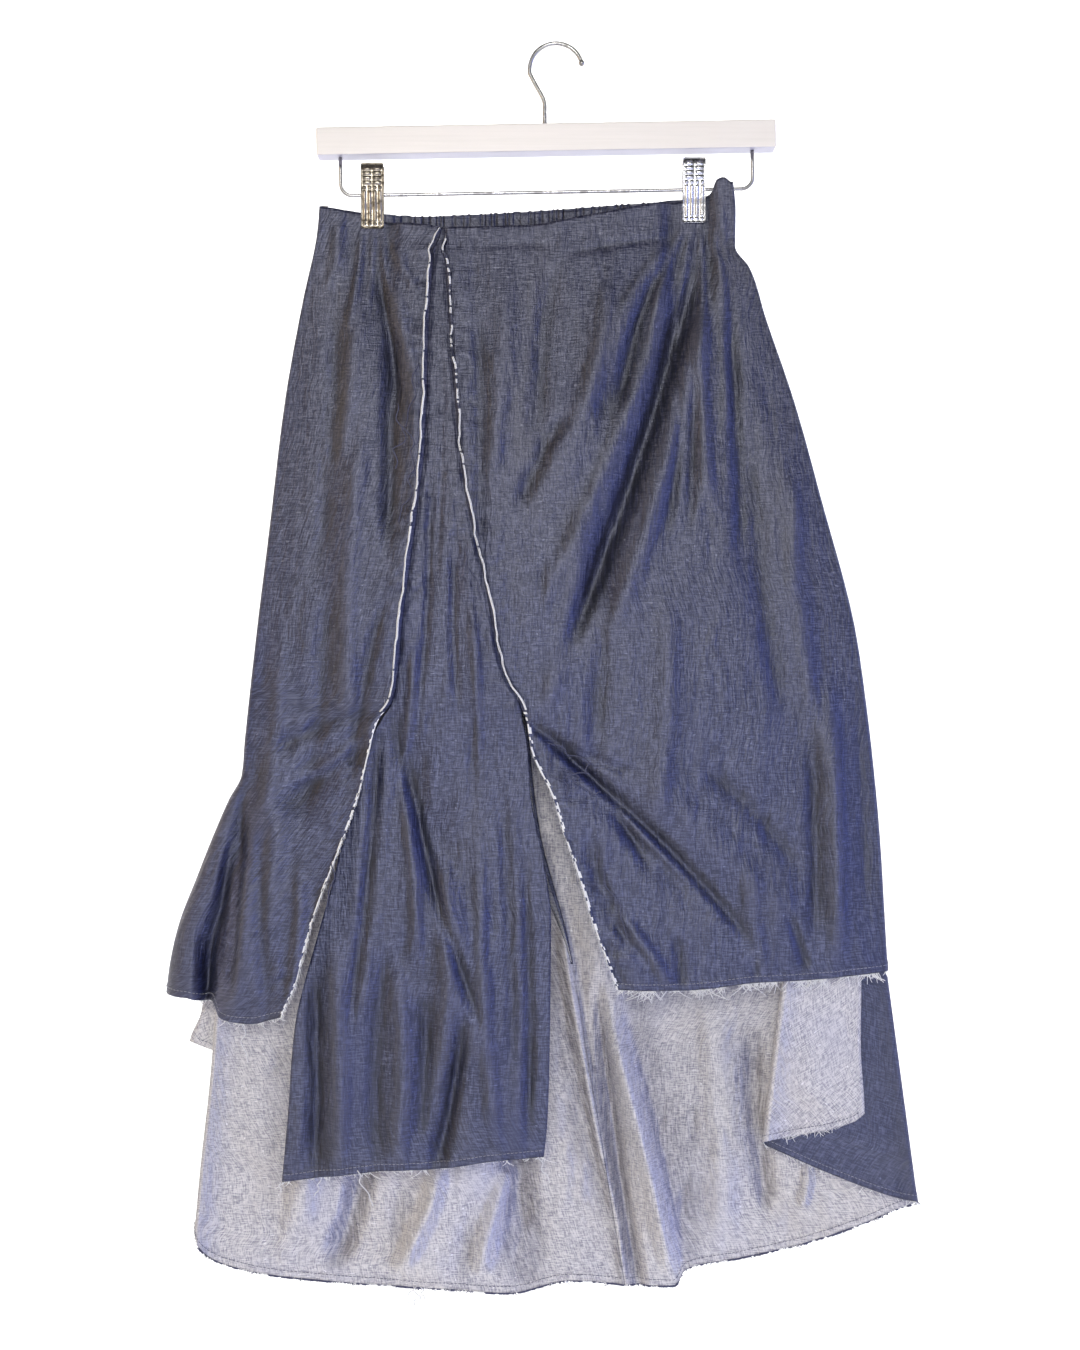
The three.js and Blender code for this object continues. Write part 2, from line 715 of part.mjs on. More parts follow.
// The hook: a round crown over the origin, a slant back to the shank, and a ball end.
function hookGeometry() {
  const centreZ = -(HOOK.radius - HOOK.wire / 2);
  const crown = arcPoints(0, centreZ, HOOK.radius, HOOK.end, HOOK.left, 16);
  const barTop = -(BAR_CENTRE.drop - BAR.height / 2);
  const shank = [
    ...HOOK_SLANT.map(({ x, drop }) => new THREE.Vector3(x, 0, -drop)),
    new THREE.Vector3(HOOK.shankX, 0, barTop + 2 * SEAM_GAP),
  ];
  const body = solid(wire([...crown, ...shank], HOOK.wire));
  const ball = new THREE.SphereGeometry(HOOK.tip, 10, 8);
  ball.translate(crown[0].x, 0, crown[0].z);
  return geometryFrom(body.add(solid(ball)));
}

// The rod: a wire bent down from the bar at both ends, which carries the clips.
function rodGeometry() {
  const { halfSpan, below, bend } = ROD;
  const top = -BAR.height / 2 - SEAM_GAP;
  const left = arcPoints(-halfSpan + bend, -below + bend, bend, 180, 270, 5);
  const right = arcPoints(halfSpan - bend, -below + bend, bend, 270, 360, 5);
  return wire([
    new THREE.Vector3(-halfSpan, 0, top),
    ...left,
    new THREE.Vector3(0, 0, -below),
    ...right,
    new THREE.Vector3(halfSpan, 0, top),
  ], ROD.wire);
}

function barGeometry() {
  const { length, height, depth, edge } = BAR;
  const outline = new THREE.Shape();
  outline.moveTo(-length / 2 + edge, -height / 2 + edge);
  outline.lineTo(length / 2 - edge, -height / 2 + edge);
  outline.lineTo(length / 2 - edge, height / 2 - edge);
  outline.lineTo(-length / 2 + edge, height / 2 - edge);
  const geometry = new THREE.ExtrudeGeometry(outline, {
    depth: depth - 2 * edge, bevelSize: edge, bevelThickness: edge, bevelSegments: 2,
  });
  geometry.translate(0, 0, -depth / 2 + edge);
  return geometry.rotateX(Math.PI / 2);
}

// Inner face of a clip's jaw, from its top to the lip, measured from the rod.
const JAW = table(
  ['z', 'y'],
  [
    [-26.5, 3.1],
    [-25, 1.7],
    [-14, 1.7],
    [-7, 2.9],
    [4, 4.2],
    [18, 5],
    [21, 4.6],
    [24, 3.4],
  ],
);
// Raised parts of a jaw: their span in height and width, each mirrored to both halves.
const JAW_RELIEF = table(
  ['low', 'high', 'inside', 'outside'],
  [
    [-24.5, 5, 1, 3],
    [-24.5, 5, 5, 7],
    [7, 10, 1, 7],
    [11.4, 14.4, 1, 7],
    [15.8, 18.8, 1, 7],
  ],
);

// A strip of a jaw between two heights: its profile carried across the width.
function jawStrip(low, high, from, to, innerOffset, outerOffset) {
  const heights = [low, ...JAW.map((row) => row.z).filter((z) => z > low && z < high), high];
  const profile = new THREE.Shape();
  const side = (offset) => heights.map((z) => new THREE.Vector2(at(JAW, 'y', z) + offset, z));
  profile.setFromPoints([...side(outerOffset), ...side(innerOffset).reverse()]);
  const geometry = new THREE.ExtrudeGeometry(profile, { depth: to - from, bevelEnabled: false });
  geometry.applyMatrix4(new THREE.Matrix4().set(
    0, 0, -1, to,
    -1, 0, 0, 0,
    0, 1, 0, 0,
    0, 0, 0, 1,
  ));
  return geometry;
}

// One jaw with its ribs, pads and the two ears that hold it on the rod.
function jawGeometry(earX) {
  const half = CLIP.width / 2;
  let body = solid(jawStrip(-CLIP.below, CLIP.above, -half, half, 0, CLIP.plate));
  for (const { low, high, inside, outside } of JAW_RELIEF) {
    const raised = CLIP.plate + CLIP.relief;
    body = body.add(solid(jawStrip(low, high, inside, outside, CLIP.sunk, raised)));
    body = body.add(solid(jawStrip(low, high, -outside, -inside, CLIP.sunk, raised)));
  }
  const holeRadius = ROD.wire / 2 + SEAM_GAP;
  const hole = new THREE.CylinderGeometry(holeRadius, holeRadius, 2 * CLIP.width, 12);
  hole.rotateZ(Math.PI / 2);
  for (const centre of [-earX, earX]) {
    const ear = new THREE.BoxGeometry(EAR.thick, EAR.deep, EAR.high);
    ear.translate(centre, EAR.y, 0);
    body = body.add(solid(ear).subtract(solid(hole)));
  }
  return geometryFrom(body);
}

const paint = (color, roughness, metalness) =>
  new THREE.MeshStandardMaterial({ color, roughness, metalness });

function named(name, geometry, material) {
  const mesh = new THREE.Mesh(geometry, material);
  mesh.name = name;
  return mesh;
}

// The hanger's bar and rod tilt together. The clips hang plumb from the rod.
function hanger() {
  const group = new THREE.Group();
  const tilted = new THREE.Group();
  tilted.position.set(BAR_CENTRE.x, 0, -BAR_CENTRE.drop);
  tilted.rotation.y = -HANGER_TILT;
  tilted.add(named('hanger_bar', barGeometry(), paint(0xf8f2ec, 0.5, 0)));
  tilted.add(named('hanger_rod', rodGeometry(), paint(0xc8cad0, 0.2, 1)));
  group.add(tilted, named('hanger_hook', hookGeometry(), paint(0xc8cad0, 0.2, 1)));
  for (const [name, x] of [['clip_left', LEFT_CLIP_X], ['clip_right', RIGHT_CLIP_X]]) {
    const fromBar = x - BAR_CENTRE.x;
    const rodZ = -BAR_CENTRE.drop + Math.sin(HANGER_TILT) * fromBar - Math.cos(HANGER_TILT) * ROD.below;
    const front = named(`${name}_front`, jawGeometry(EAR.frontX), paint(0xb9bcc4, 0.3, 1));
    const back = named(`${name}_back`, jawGeometry(EAR.backX), paint(0xb9bcc4, 0.3, 1));
    front.position.set(x, 0, rodZ);
    back.position.set(x, 0, rodZ);
    back.rotation.z = Math.PI;
    group.add(front, back);
  }
  return group;
}

function skirt() {
  const chambray = () => paint(0x5c6180, 0.9, 0);
  const group = new THREE.Group();
  group.add(
    named('skirt_front_left', sidePanel({
      side: LEFT_SIDE, edge: 'left', hem: LEFT_HEM, foldRows: LEFT_FOLDS, runColumns: shares(14),
    }), chambray()),
    named('skirt_front_centre', centrePanel(8, 4), chambray()),
    named('skirt_front_right', sidePanel({
      side: RIGHT_SIDE, edge: 'right', hem: RIGHT_HEM, foldRows: RIGHT_FOLDS,
      runColumns: [...shares(14, 0, 0.9), 0.91, 0.925, 0.94, 0.955, 0.975, 1],
    }), chambray()),
    named('skirt_back_left', backHalf({
      side: LEFT_SIDE, flute: LEFT_FLUTE, parts: LEFT_PARTS, hem: BACK_LEFT_HEM,
      columns: { run: 12, middle: 3, end: 4 },
    }), chambray()),
    named('skirt_back_right', backHalf({
      side: RIGHT_SIDE, flute: RIGHT_FLUTE, parts: RIGHT_PARTS, hem: BACK_RIGHT_HEM,
      columns: { run: 10, middle: 4, end: 4 },
    }), chambray()),
    named('waist_casing', waistCasing(), chambray()),
    named('seam_left', seamRidge('left', 150, -0.65), chambray()),
    named('seam_right', seamRidge('right', 168, 0.3), chambray()),
  );
  return group;
}

const part = new THREE.Group();
part.add(hanger(), skirt());

export default part;
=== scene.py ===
import math

import bmesh
import bpy
import numpy as np
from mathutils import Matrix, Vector


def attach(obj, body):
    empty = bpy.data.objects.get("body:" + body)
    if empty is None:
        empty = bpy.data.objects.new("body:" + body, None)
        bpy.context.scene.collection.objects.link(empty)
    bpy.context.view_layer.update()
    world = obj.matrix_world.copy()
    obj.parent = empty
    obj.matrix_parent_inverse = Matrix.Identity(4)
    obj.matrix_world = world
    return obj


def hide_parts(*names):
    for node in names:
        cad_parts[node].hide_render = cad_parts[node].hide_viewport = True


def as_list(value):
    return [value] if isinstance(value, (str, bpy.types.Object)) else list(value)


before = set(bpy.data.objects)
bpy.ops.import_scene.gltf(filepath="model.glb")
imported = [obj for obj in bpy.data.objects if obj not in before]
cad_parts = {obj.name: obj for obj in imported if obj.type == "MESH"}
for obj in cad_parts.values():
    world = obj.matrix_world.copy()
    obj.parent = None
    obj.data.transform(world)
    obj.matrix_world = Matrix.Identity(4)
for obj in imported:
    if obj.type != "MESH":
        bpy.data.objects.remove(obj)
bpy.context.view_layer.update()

# Sides and seams of the skirt
# The cut of the whole skirt: its two side outlines, the two front seams that open into
# slits, the centre back seam and the waist. Each cloth piece below hangs between them.
# Shapes are worked out in millimetres: x, y, and the drop under the hook's inner crown.


def table(names, rows):
    """A short table with named columns, as one array for each column."""
    return dict(zip(names.split(), np.array(rows, float).T))


LEFT_SIDE = table("drop x round back seam", [
    (125, -184, 2, 0, -178),
    (152, -187, 2, 0, -181),
    (198, -197, 2, 0, -191),
    (276, -211, 2.5, 0, -205),
    (370, -222.5, 3, 0, -215),
    (464, -234, 3, 0, -226),
    (542, -242.5, 3.5, 0, -234),
    (569, -245, 4.5, 0.5, -235),
    (588, -255, 6, 1.5, -243),
    (620, -269, 9, 3, -254),
    (651, -281.5, 12, 5, -263),
    (682, -294, 15, 8, -272),
    (713, -302, 17, 10, -278),
    (742, -305.5, 19, 11, -281),
    (760, -306, 19, 11, -283),
    (784, -306, 19, 11, -292),
    (990, -306, 19, 11, -292),
])
RIGHT_SIDE = table("drop x round back seam", [
    (104, 136.5, 2, 0, 131),
    (129, 139.2, 2, 0, 133),
    (157, 139.4, 2, 0, 133),
    (173, 150.5, 2, 0, 144),
    (213, 163.5, 2.2, 0, 157),
    (276, 185, 2.5, 0, 178),
    (354, 206.7, 3, 0, 199),
    (448, 231.5, 3.2, -0.5, 222),
    (510, 241, 3.4, -1, 229),
    (604, 251, 3.7, -1.5, 234),
    (698, 256.8, 4, -2, 238),
    (722, 258.3, 4, -2, 239),
    (780, 260, 4, -2, 238.5),
    (834, 260, 4, -2, 241.5),
    (990, 260, 4, -2, 241.5),
])
FRONT_EDGES = table("drop left centre_left centre_right right", [
    (147, -89.6, -89.3, -87.4, -87.1),
    (164, -94.3, -94, -86.6, -86.3),
    (233, -98.8, -98.5, -81.6, -81.3),
    (310, -101, -100.7, -75.1, -74.8),
    (356, -106, -105.7, -69.3, -69),
    (406, -112.6, -112.3, -57.8, -57.5),
    (452, -118.8, -118.5, -48.9, -48.6),
    (490, -122, -121.7, -39.8, -39.5),
    (512, -127, -126.7, -28.3, -28),
    (525, -136.5, -134.5, -26, -23.2),
    (550, -144, -149, -21.4, -18.6),
    (585, -152.5, -159, -19.6, -2.5),
    (610, -161, -165, -14.5, 5),
    (641, -173, -170, -8.3, 16),
    (679, -187, -180.4, -4, 27.5),
    (731, -201, -195, -4.4, 46),
    (757, -211, -201, -4.7, 52),
    (834, -211, -207.6, -6.8, 52),
    (885, -211, -212.3, -12.8, 52),
])
WAIST = table("x front back", [
    (-184, 126, 124.5),
    (-164, 129.3, 127.5),
    (-151, 132, 129.7),
    (-134, 138, 130.8),
    (-103, 140.6, 131.2),
    (-87, 143, 130.6),
    (-26, 142, 127.5),
    (27, 133, 123.8),
    (80, 123.5, 120.3),
    (100, 122, 119.6),
    (116.5, 118.6, 117),
    (122, 115.2, 114.6),
    (126.5, 106.5, 104.6),
    (132, 104.8, 103.2),
    (137, 109, 107.5),
])
BACK_SEAM = table("drop x", [(126, -44), (431, -28), (613, -13), (701, 9.7), (792, 24.8), (976, 55)])
BULGE = table("drop front back", [
    (104, 3, 3),
    (135, 4.5, 4.5),
    (200, 11, 11),
    (300, 18, 19),
    (450, 21, 23),
    (760, 19, 24),
    (990, 17, 25),
])
CENTRE_RECESS = table("drop y", [(485, 0), (512, 1.9), (530, 4), (560, 6.5), (700, 9), (885, 10)])
SLIT_DROP = 519
WAIST_SIDE_DROP = 104
SIDE_FULLNESS = 2.6
PRESSED = 0.75
CLIPS_X = {"left": -143.0, "right": 107.5}


def mix(a, b, t):
    """The value a part t of the way from a to b."""
    return a + (b - a) * t


def step(start, end, value):
    """0 before start, 1 after end, and the smooth cubic 3t² - 2t³ between them."""
    t = np.clip((value - start) / (end - start), 0, 1)
    return t * t * (3 - 2 * t)


def read(rows, name, place):
    """A smooth curve through a table's rows, read along its first column: a cubic between
    each two rows, with the mean of the slopes at a row, held to twice the flatter one."""
    key, value = next(iter(rows.values())), rows[name]
    place = np.clip(place, key[0], key[-1])
    i = np.clip(np.searchsorted(key, place, side="right") - 1, 0, len(key) - 2)
    slope = np.diff(value) / np.diff(key)
    low, high = slope[:-1], slope[1:]
    eased = np.minimum(abs(low + high) / 2, 2 * np.minimum(abs(low), abs(high)))
    eased = np.where(low * high <= 0, 0, np.sign(low) * eased)
    slopes = np.concatenate([slope[:1], eased, slope[-1:]])
    width = key[i + 1] - key[i]
    t = (place - key[i]) / width
    start = (2 * t**3 - 3 * t**2 + 1) * value[i] + (t**3 - 2 * t**2 + t) * width * slopes[i]
    end = (3 * t**2 - 2 * t**3) * value[i + 1] + (t**3 - t**2) * width * slopes[i + 1]
    return start + end


def pressed(x, drop):
    """How strongly a clip presses the layers together: 1 beside a clip, faded over 14 mm
    to its sides and between 146 and 235 mm down."""
    near = 0
    for clip in CLIPS_X.values():
        beside = np.maximum(clip - 16 - x, x - clip - 10.5)
        near = np.maximum(near, 1 - step(0, 14, beside))
    return near * (1 - step(146, 235, drop))


def lean(x, drop):
    """Beyond the right clip the waist stands 6 mm forward, in front of the rod."""
    return -6 * step(116.8, 125.5, x) * (1 - step(126, 165, drop))


def layer_y(layer, x, drop):
    """Depth of the front or back: the side's roundness, plus a bulge that falls off
    towards both sides as 1 - |share|^2.6, and flat where a clip presses it."""
    sign = -1 if layer == "front" else 1
    left = read(LEFT_SIDE, "x", drop) + read(LEFT_SIDE, "round", drop)
    right = read(RIGHT_SIDE, "x", drop) - read(RIGHT_SIDE, "round", drop)
    share = np.clip((2 * x - left - right) / (right - left), -1, 1)
    rounding = mix(read(LEFT_SIDE, "round", drop), read(RIGHT_SIDE, "round", drop), (share + 1) / 2)
    back = np.where(share < 0, read(LEFT_SIDE, "back", drop), read(RIGHT_SIDE, "back", drop))
    bulge = read(BULGE, layer, drop) * (1 - abs(share) ** SIDE_FULLNESS)
    loose = back * share**2 + sign * (rounding + bulge)
    return mix(loose, sign * PRESSED, pressed(x, drop)) + lean(x, drop)


def folds(rows, x, drop):
    """Sum of creases: a bell across each bowed line, faded at both ends. Depth is
    positive for a trough seen from outside."""
    total = np.zeros(np.broadcast(x, drop).shape)
    for x1, drop1, x2, drop2, bow, width, depth in zip(*rows.values()):
        across, down = x2 - x1, drop2 - drop1
        length = math.hypot(across, down)
        along = ((x - x1) * across + (drop - drop1) * down) / length**2
        off = ((x - x1) * down - (drop - drop1) * across) / length
        off = off - bow * 4 * along * (1 - along)
        fade = step(-0.12, 0.25, along) * (1 - step(0.8, 1.12, along))
        total += depth * fade * np.exp(-((off / width) ** 2))
    return total


def crinkles(seed, count, x_range, drop_range, size, depth, lean_share=0.12):
    """A table of small creases for folds(): seeded, mostly upright, each one's length,
    width and depth drawn from a range."""
    rng = np.random.default_rng(seed)
    x = rng.uniform(*x_range, count)
    drop = rng.uniform(*drop_range, count)
    length = rng.uniform(*size, count)
    turn = rng.normal(0, lean_share, count)
    return {
        "x1": x, "drop1": drop, "x2": x + length * np.sin(turn), "drop2": drop + length * np.cos(turn),
        "bow": rng.normal(0, 2.5, count), "width": rng.uniform(2.6, 4.6, count),
        "depth": rng.uniform(*depth, count) * rng.choice([-1, 1], count),
    }


def small_folds(rows, x, drop):
    """folds() for many short creases: each one is added only to the grid points near it."""
    total = np.zeros(x.shape)
    for crease in zip(*rows.values()):
        x1, drop1, x2, drop2, bow, width, depth = crease
        reach = 3 * width + abs(bow)
        near = (x > min(x1, x2) - reach) & (x < max(x1, x2) + reach)
        tail = 0.2 * abs(drop2 - drop1) + reach
        near &= (drop > min(drop1, drop2) - tail) & (drop < max(drop1, drop2) + tail)
        one = {name: np.array([value]) for name, value in zip(rows, crease)}
        total[near] += folds(one, x[near], drop[near])
    return total


# Chambray
# Light plain-weave cotton with a navy warp and a pale weft: slate-blue and heathered on
# the face, pale grey with white slubs on the wrong side, ivory where it is cut and frays.


class Value:
    """A shader socket. Arithmetic on it adds Math nodes."""

    def __init__(self, paint, socket):
        self.paint, self.socket = paint, socket

    def maths(self, operation, *values):
        """A Math node on these values, in their order."""
        inputs = dict(enumerate(values))
        return self.paint.node("ShaderNodeMath", {"operation": operation}, inputs)

    def __add__(self, other):
        return self.maths("ADD", self, other)

    def __sub__(self, other):
        return self.maths("SUBTRACT", self, other)

    def __mul__(self, other):
        return self.maths("MULTIPLY", self, other)

    def __rsub__(self, other):
        return self.maths("SUBTRACT", other, self)

    __radd__, __rmul__ = __add__, __mul__

    def held(self):
        """Held between 0 and 1."""
        return self.maths("MINIMUM", self.maths("MAXIMUM", self, 0.0), 1.0)

    def between(self, low, high):
        """0 at low, 1 at high, held and smooth."""
        inputs = {"Value": self, "From Min": low, "From Max": high}
        return self.paint.node("ShaderNodeMapRange", {"interpolation_type": "SMOOTHSTEP"}, inputs)


class Paint:
    """A material under construction."""

    def __init__(self, name):
        self.material = bpy.data.materials.new(name)
        self.material.use_nodes = True
        self.tree = self.material.node_tree
        self.tree.nodes.clear()

    def node(self, kind, settings=None, inputs=None, output=0):
        """Adds a node: its settings first, then its inputs, linked or set."""
        made = self.tree.nodes.new(kind)
        for name, value in (settings or {}).items():
            setattr(made, name, value)
        for name, value in (inputs or {}).items():
            if isinstance(value, Value):
                self.tree.links.new(value.socket, made.inputs[name])
            else:
                made.inputs[name].default_value = value
        return Value(self, made.outputs[output]) if made.outputs else None

    def place(self, space):
        """Where the pattern is read: the cloth's own map in metres, or the Object place."""
        if space == "cloth":
            return self.node("ShaderNodeUVMap", {"uv_map": "cloth"})
        return self.node("ShaderNodeTexCoord", output="Object")

    def kept(self, name):
        """A number kept on the piece's points."""
        return self.node("ShaderNodeAttribute", {"attribute_name": name}, output=2)

    def stretched(self, vector, *scale):
        """A place multiplied along each axis, so that a pattern read there is drawn out."""
        return self.node("ShaderNodeVectorMath", {"operation": "MULTIPLY"}, {0: vector, 1: scale})

    def noise(self, vector, scale=1.0, detail=2.0, rough=0.5):
        """Cloudy noise from 0 to 1 at a place."""
        inputs = {"Vector": vector, "Scale": scale, "Detail": detail, "Roughness": rough}
        return self.node("ShaderNodeTexNoise", None, inputs)

    def blend(self, factor, a, b, way="MIX"):
        """Mixes two colours, or with way MULTIPLY tints the first by the second."""
        a, b = (colour if isinstance(colour, Value) else (*colour, 1) for colour in (a, b))
        settings = {"data_type": "RGBA", "blend_type": way}
        return self.node("ShaderNodeMix", settings, {0: factor, 6: a, 7: b}, 2)

    def bump(self, height, distance, strength=1.0, under=None):
        """Normals bent by a height of so many metres, on top of those under it."""
        inputs = {"Height": height, "Distance": distance, "Strength": strength}
        if under:
            inputs["Normal"] = under
        return self.node("ShaderNodeBump", None, inputs)

    def finish(self, **sockets):
        """The Principled shader with these sockets, joined to the output."""
        inputs = {name.replace("_", " "): value for name, value in sockets.items()}
        shader = self.node("ShaderNodeBsdfPrincipled", None, inputs)
        self.node("ShaderNodeOutputMaterial", None, {"Surface": shader})
        return self.material


# Colours multiplied in as painted shade: into crease troughs, and into crease walls that face right (bluer)
# and left (browner).
PAINTED_TROUGH_SHADE = (0.24, 0.23, 0.25)
PAINTED_RIGHT_WALL_SHADE = (0.34, 0.42, 0.86)
PAINTED_LEFT_WALL_SHADE = (0.46, 0.41, 0.34)
SHEEN_BLUE = (0.80, 0.83, 1.0, 1)


def woven(name, thread, dark, pale, lift, fleck, slub, cast, warm, low, shade, crushed, gloss, level):
    """Cloth: streaks of warp along the length and of weft across it, a thread wide, mix a
    dark and a pale thread, with more of the pale one the larger lift is. Slubs and flecks
    of bare weft lie on top, patches take a cool cast or a warm one, and the low end takes
    a tint, painted light from below. Its crushed look is two stretched noises in the
    bump, under the weave's own fine bump. Painted shade darkens the troughs of its creases
    and a hem's fold, tints their right-facing walls bluer and their left-facing walls
    browner, and a painted highlight pales their ridges: shade says by how much."""
    paint = Paint(name)
    cloth = paint.place("cloth")
    warp = paint.noise(paint.stretched(cloth, 1 / thread, 0.12 / thread, 1), 1, 2, 0.65)
    weft = paint.noise(paint.stretched(cloth, 0.14 / thread, 1.1 / thread, 1), 1, 2, 0.65)
    grain = paint.noise(cloth, 0.6 / thread, 3, 0.7)
    patches = paint.noise(cloth, 30, 3, 0.6)
    threads = (warp - 0.5) * 3.2 + (weft - 0.5) * 3.4 + (grain - 0.5) * 1.4
    colour = paint.blend((threads + (patches - 0.5) * 0.35 + lift).held(), dark, pale)
    streak = paint.noise(paint.stretched(cloth, 0.16 / thread, 0.7 / thread, 1), 1, 1, 0.5)
    slubs = streak.between(0.66, 0.74) * patches.between(0.4, 0.62) * slub
    colour = paint.blend(slubs, colour, fleck)
    spots = paint.noise(cloth, 260, 1, 0.5).between(0.73, 0.76) * slub
    colour = paint.blend(spots, colour, fleck)
    tone = paint.noise(paint.stretched(cloth, 22, 7, 1), 1, 2, 0.5)
    colour = paint.blend(tone.between(0.5, 0.75) * 0.35, colour, cast)
    colour = paint.blend((1 - tone).between(0.5, 0.75) * 0.3, colour, warm)
    # Painted light: towards the bottom the colour is multiplied by low, standing in for the cast of the
    # light from below.
    height = paint.node("ShaderNodeSeparateXYZ", None, {0: cloth}, 1)
    colour = paint.blend((0 - height).between(0.22, 0.62), colour, low, "MULTIPLY")
    crush = paint.noise(paint.stretched(cloth, 330, 48, 1), 1, 3, 0.6)
    uneven = crush.between(0.35, 0.6) * 0.6 + 0.4
    # Painted shade: crease troughs darken, walls facing right take a blue tint and walls facing left a
    # brown one.
    hollow, facing = paint.kept("hollow"), paint.kept("facing")
    tints = ((hollow.between(0.15, 1.9), PAINTED_TROUGH_SHADE), (facing.between(0.04, 0.34), PAINTED_RIGHT_WALL_SHADE),
             ((0 - facing).between(0.04, 0.34), PAINTED_LEFT_WALL_SHADE))
    for part, tint in tints:
        colour = paint.blend(part * uneven * shade, colour, tint, "MULTIPLY")
    # Painted highlight: cloth standing above the softened surface is paled.
    colour = paint.blend((0 - hollow).between(0.3, 1.8) * uneven * shade * 0.3, colour, pale)
    waves = paint.noise(paint.stretched(cloth, 105, 24, 1), 1, 2, 0.5)
    crumpled = paint.bump(crush + waves * 1.3, 0.0016, crushed)
    normal = paint.bump(threads, 0.00025, 0.5, crumpled)
    return paint.finish(Base_Color=colour, Roughness=grain * 0.14 + gloss, Normal=normal, Sheen_Weight=0.12,
                        Sheen_Roughness=0.5, Sheen_Tint=(*cast, 1), Specular_IOR_Level=level,
                        Specular_Tint=SHEEN_BLUE)


chambray_face = woven(
    "chambray_face", thread=0.0013, dark=(0.006, 0.007, 0.026), pale=(0.097, 0.097, 0.132), lift=0.33,
    fleck=(0.36, 0.36, 0.40), slub=0.35, cast=(0.024, 0.030, 0.085), warm=(0.070, 0.062, 0.060),
    low=(0.86, 0.96, 1.24), shade=0.95, crushed=0.55, gloss=0.36, level=1.0)
chambray_back = woven(
    "chambray_back", thread=0.001, dark=(0.290, 0.280, 0.325), pale=(0.730, 0.710, 0.700), lift=0.62,
    fleck=(0.92, 0.91, 0.92), slub=0.9, cast=(0.520, 0.515, 0.600), warm=(0.640, 0.590, 0.520),
    low=(1.0, 0.99, 0.97), shade=0.5, crushed=0.6, gloss=0.42, level=0.6)


def frayed_edge():
    """Bare ivory thread ends with a trace of navy warp between them."""
    paint = Paint("frayed_edge")
    place = paint.place("object")
    ends = paint.noise(place, 1900, 2, 0.6).between(0.38, 0.6)
    navy = paint.noise(place, 420, 2, 0.5).between(0.64, 0.74) * 0.4
    colour = paint.blend(ends, (0.86, 0.85, 0.83), (0.99, 0.98, 0.95))
    colour = paint.blend(navy, colour, (0.16, 0.17, 0.26))
    normal = paint.bump(ends, 0.0002, 0.6)
    return paint.finish(Base_Color=colour, Roughness=0.9, Normal=normal, Sheen_Weight=0.2)


raw_edge = frayed_edge()


def sewing_thread(name, colour, worn):
    """Twisted sewing thread: a fine diagonal ply in the colour and the bump."""
    paint = Paint(name)
    place = paint.place("object")
    ply = paint.noise(paint.stretched(place, 2600, 1400, 1900), 1, 1, 0.5).between(0.35, 0.65)
    normal = paint.bump(ply, 0.0001, 0.6)
    colour = paint.blend(ply, colour, worn)
    return paint.finish(Base_Color=colour, Roughness=0.7, Normal=normal, Sheen_Weight=0.2)


pale_thread = sewing_thread("pale_thread", (0.60, 0.60, 0.62), (0.80, 0.79, 0.78))
navy_thread = sewing_thread("navy_thread", (0.035, 0.038, 0.085), (0.085, 0.090, 0.150))
grey_thread = sewing_thread("grey_thread", (0.260, 0.260, 0.300), (0.420, 0.420, 0.450))


# Making a piece of cloth
# A cut piece is a thin closed shell on the surface that its panel hangs in. Its hems are
# folded double, so the shell is thicker there, and its cut edges show bare thread.

MM = 0.001
CLOTH = 0.7


def solid_piece(name, points, faces, materials, slots=None, cloth_map=None):
    """Puts arrays of points in metres, faces and each face's material slot into a mesh."""
    mesh = bpy.data.meshes.new(name)
    faces = faces if isinstance(faces, list) else faces.tolist()
    mesh.from_pydata(points.reshape(-1, 3).tolist(), [], faces)
    for material in materials:
        mesh.materials.append(material)
    if slots is not None:
        mesh.polygons.foreach_set("material_index", np.asarray(slots, np.int32))
    mesh.polygons.foreach_set("use_smooth", np.ones(len(mesh.polygons), bool))
    if cloth_map is not None:
        layer = mesh.uv_layers.new(name="cloth")
        layer.uv.foreach_set("vector", cloth_map.astype(np.float32).ravel())
    mesh.update()
    piece = bpy.data.objects.new(name, mesh)
    bpy.context.scene.collection.objects.link(piece)
    return piece


def softened(grid):
    """A grid of vectors after fifty passes of the mean of each point and its neighbours,
    with weights 1, 2 and 1, along both directions: a blur of about five cells."""
    for _ in range(50):
        for axis in (0, 1):
            edged = np.concatenate([grid.take([0], axis), grid, grid.take([-1], axis)], axis)
            size = grid.shape[axis]
            before, after = edged.take(range(size), axis), edged.take(range(2, size + 2), axis)
            grid = (before + 2 * grid + after) / 4
    return grid


def add_value(piece, name, values):
    """Keeps one number for each point of a piece, for its material to read."""
    kept = piece.data.attributes.new(name, "FLOAT", "POINT")
    kept.data.foreach_set("value", values.astype(np.float32).ravel())


def shell_faces(columns, rows):
    """Quads of a closed shell on two grids of corners: both sheets cell by cell, then the
    strips between their rims at the first and last row and at both side columns."""
    index = np.arange(2 * (columns + 1) * (rows + 1)).reshape(2, columns + 1, rows + 1)

    def corner(sheet, i, j):
        """Each cell's corner i across and j down on one sheet."""
        return index[sheet, i:columns + i, j:rows + j].ravel()

    over, under = index
    return np.concatenate([
        np.stack([corner(0, 0, 0), corner(0, 0, 1), corner(0, 1, 1), corner(0, 1, 0)], 1),
        np.stack([corner(1, 0, 0), corner(1, 1, 0), corner(1, 1, 1), corner(1, 0, 1)], 1),
        np.stack([over[:-1, 0], over[1:, 0], under[1:, 0], under[:-1, 0]], 1),
        np.stack([over[1:, -1], over[:-1, -1], under[:-1, -1], under[1:, -1]], 1),
        np.stack([over[0, 1:], over[0, :-1], under[0, :-1], under[0, 1:]], 1),
        np.stack([over[-1, :-1], over[-1, 1:], under[-1, 1:], under[-1, :-1]], 1),
    ])


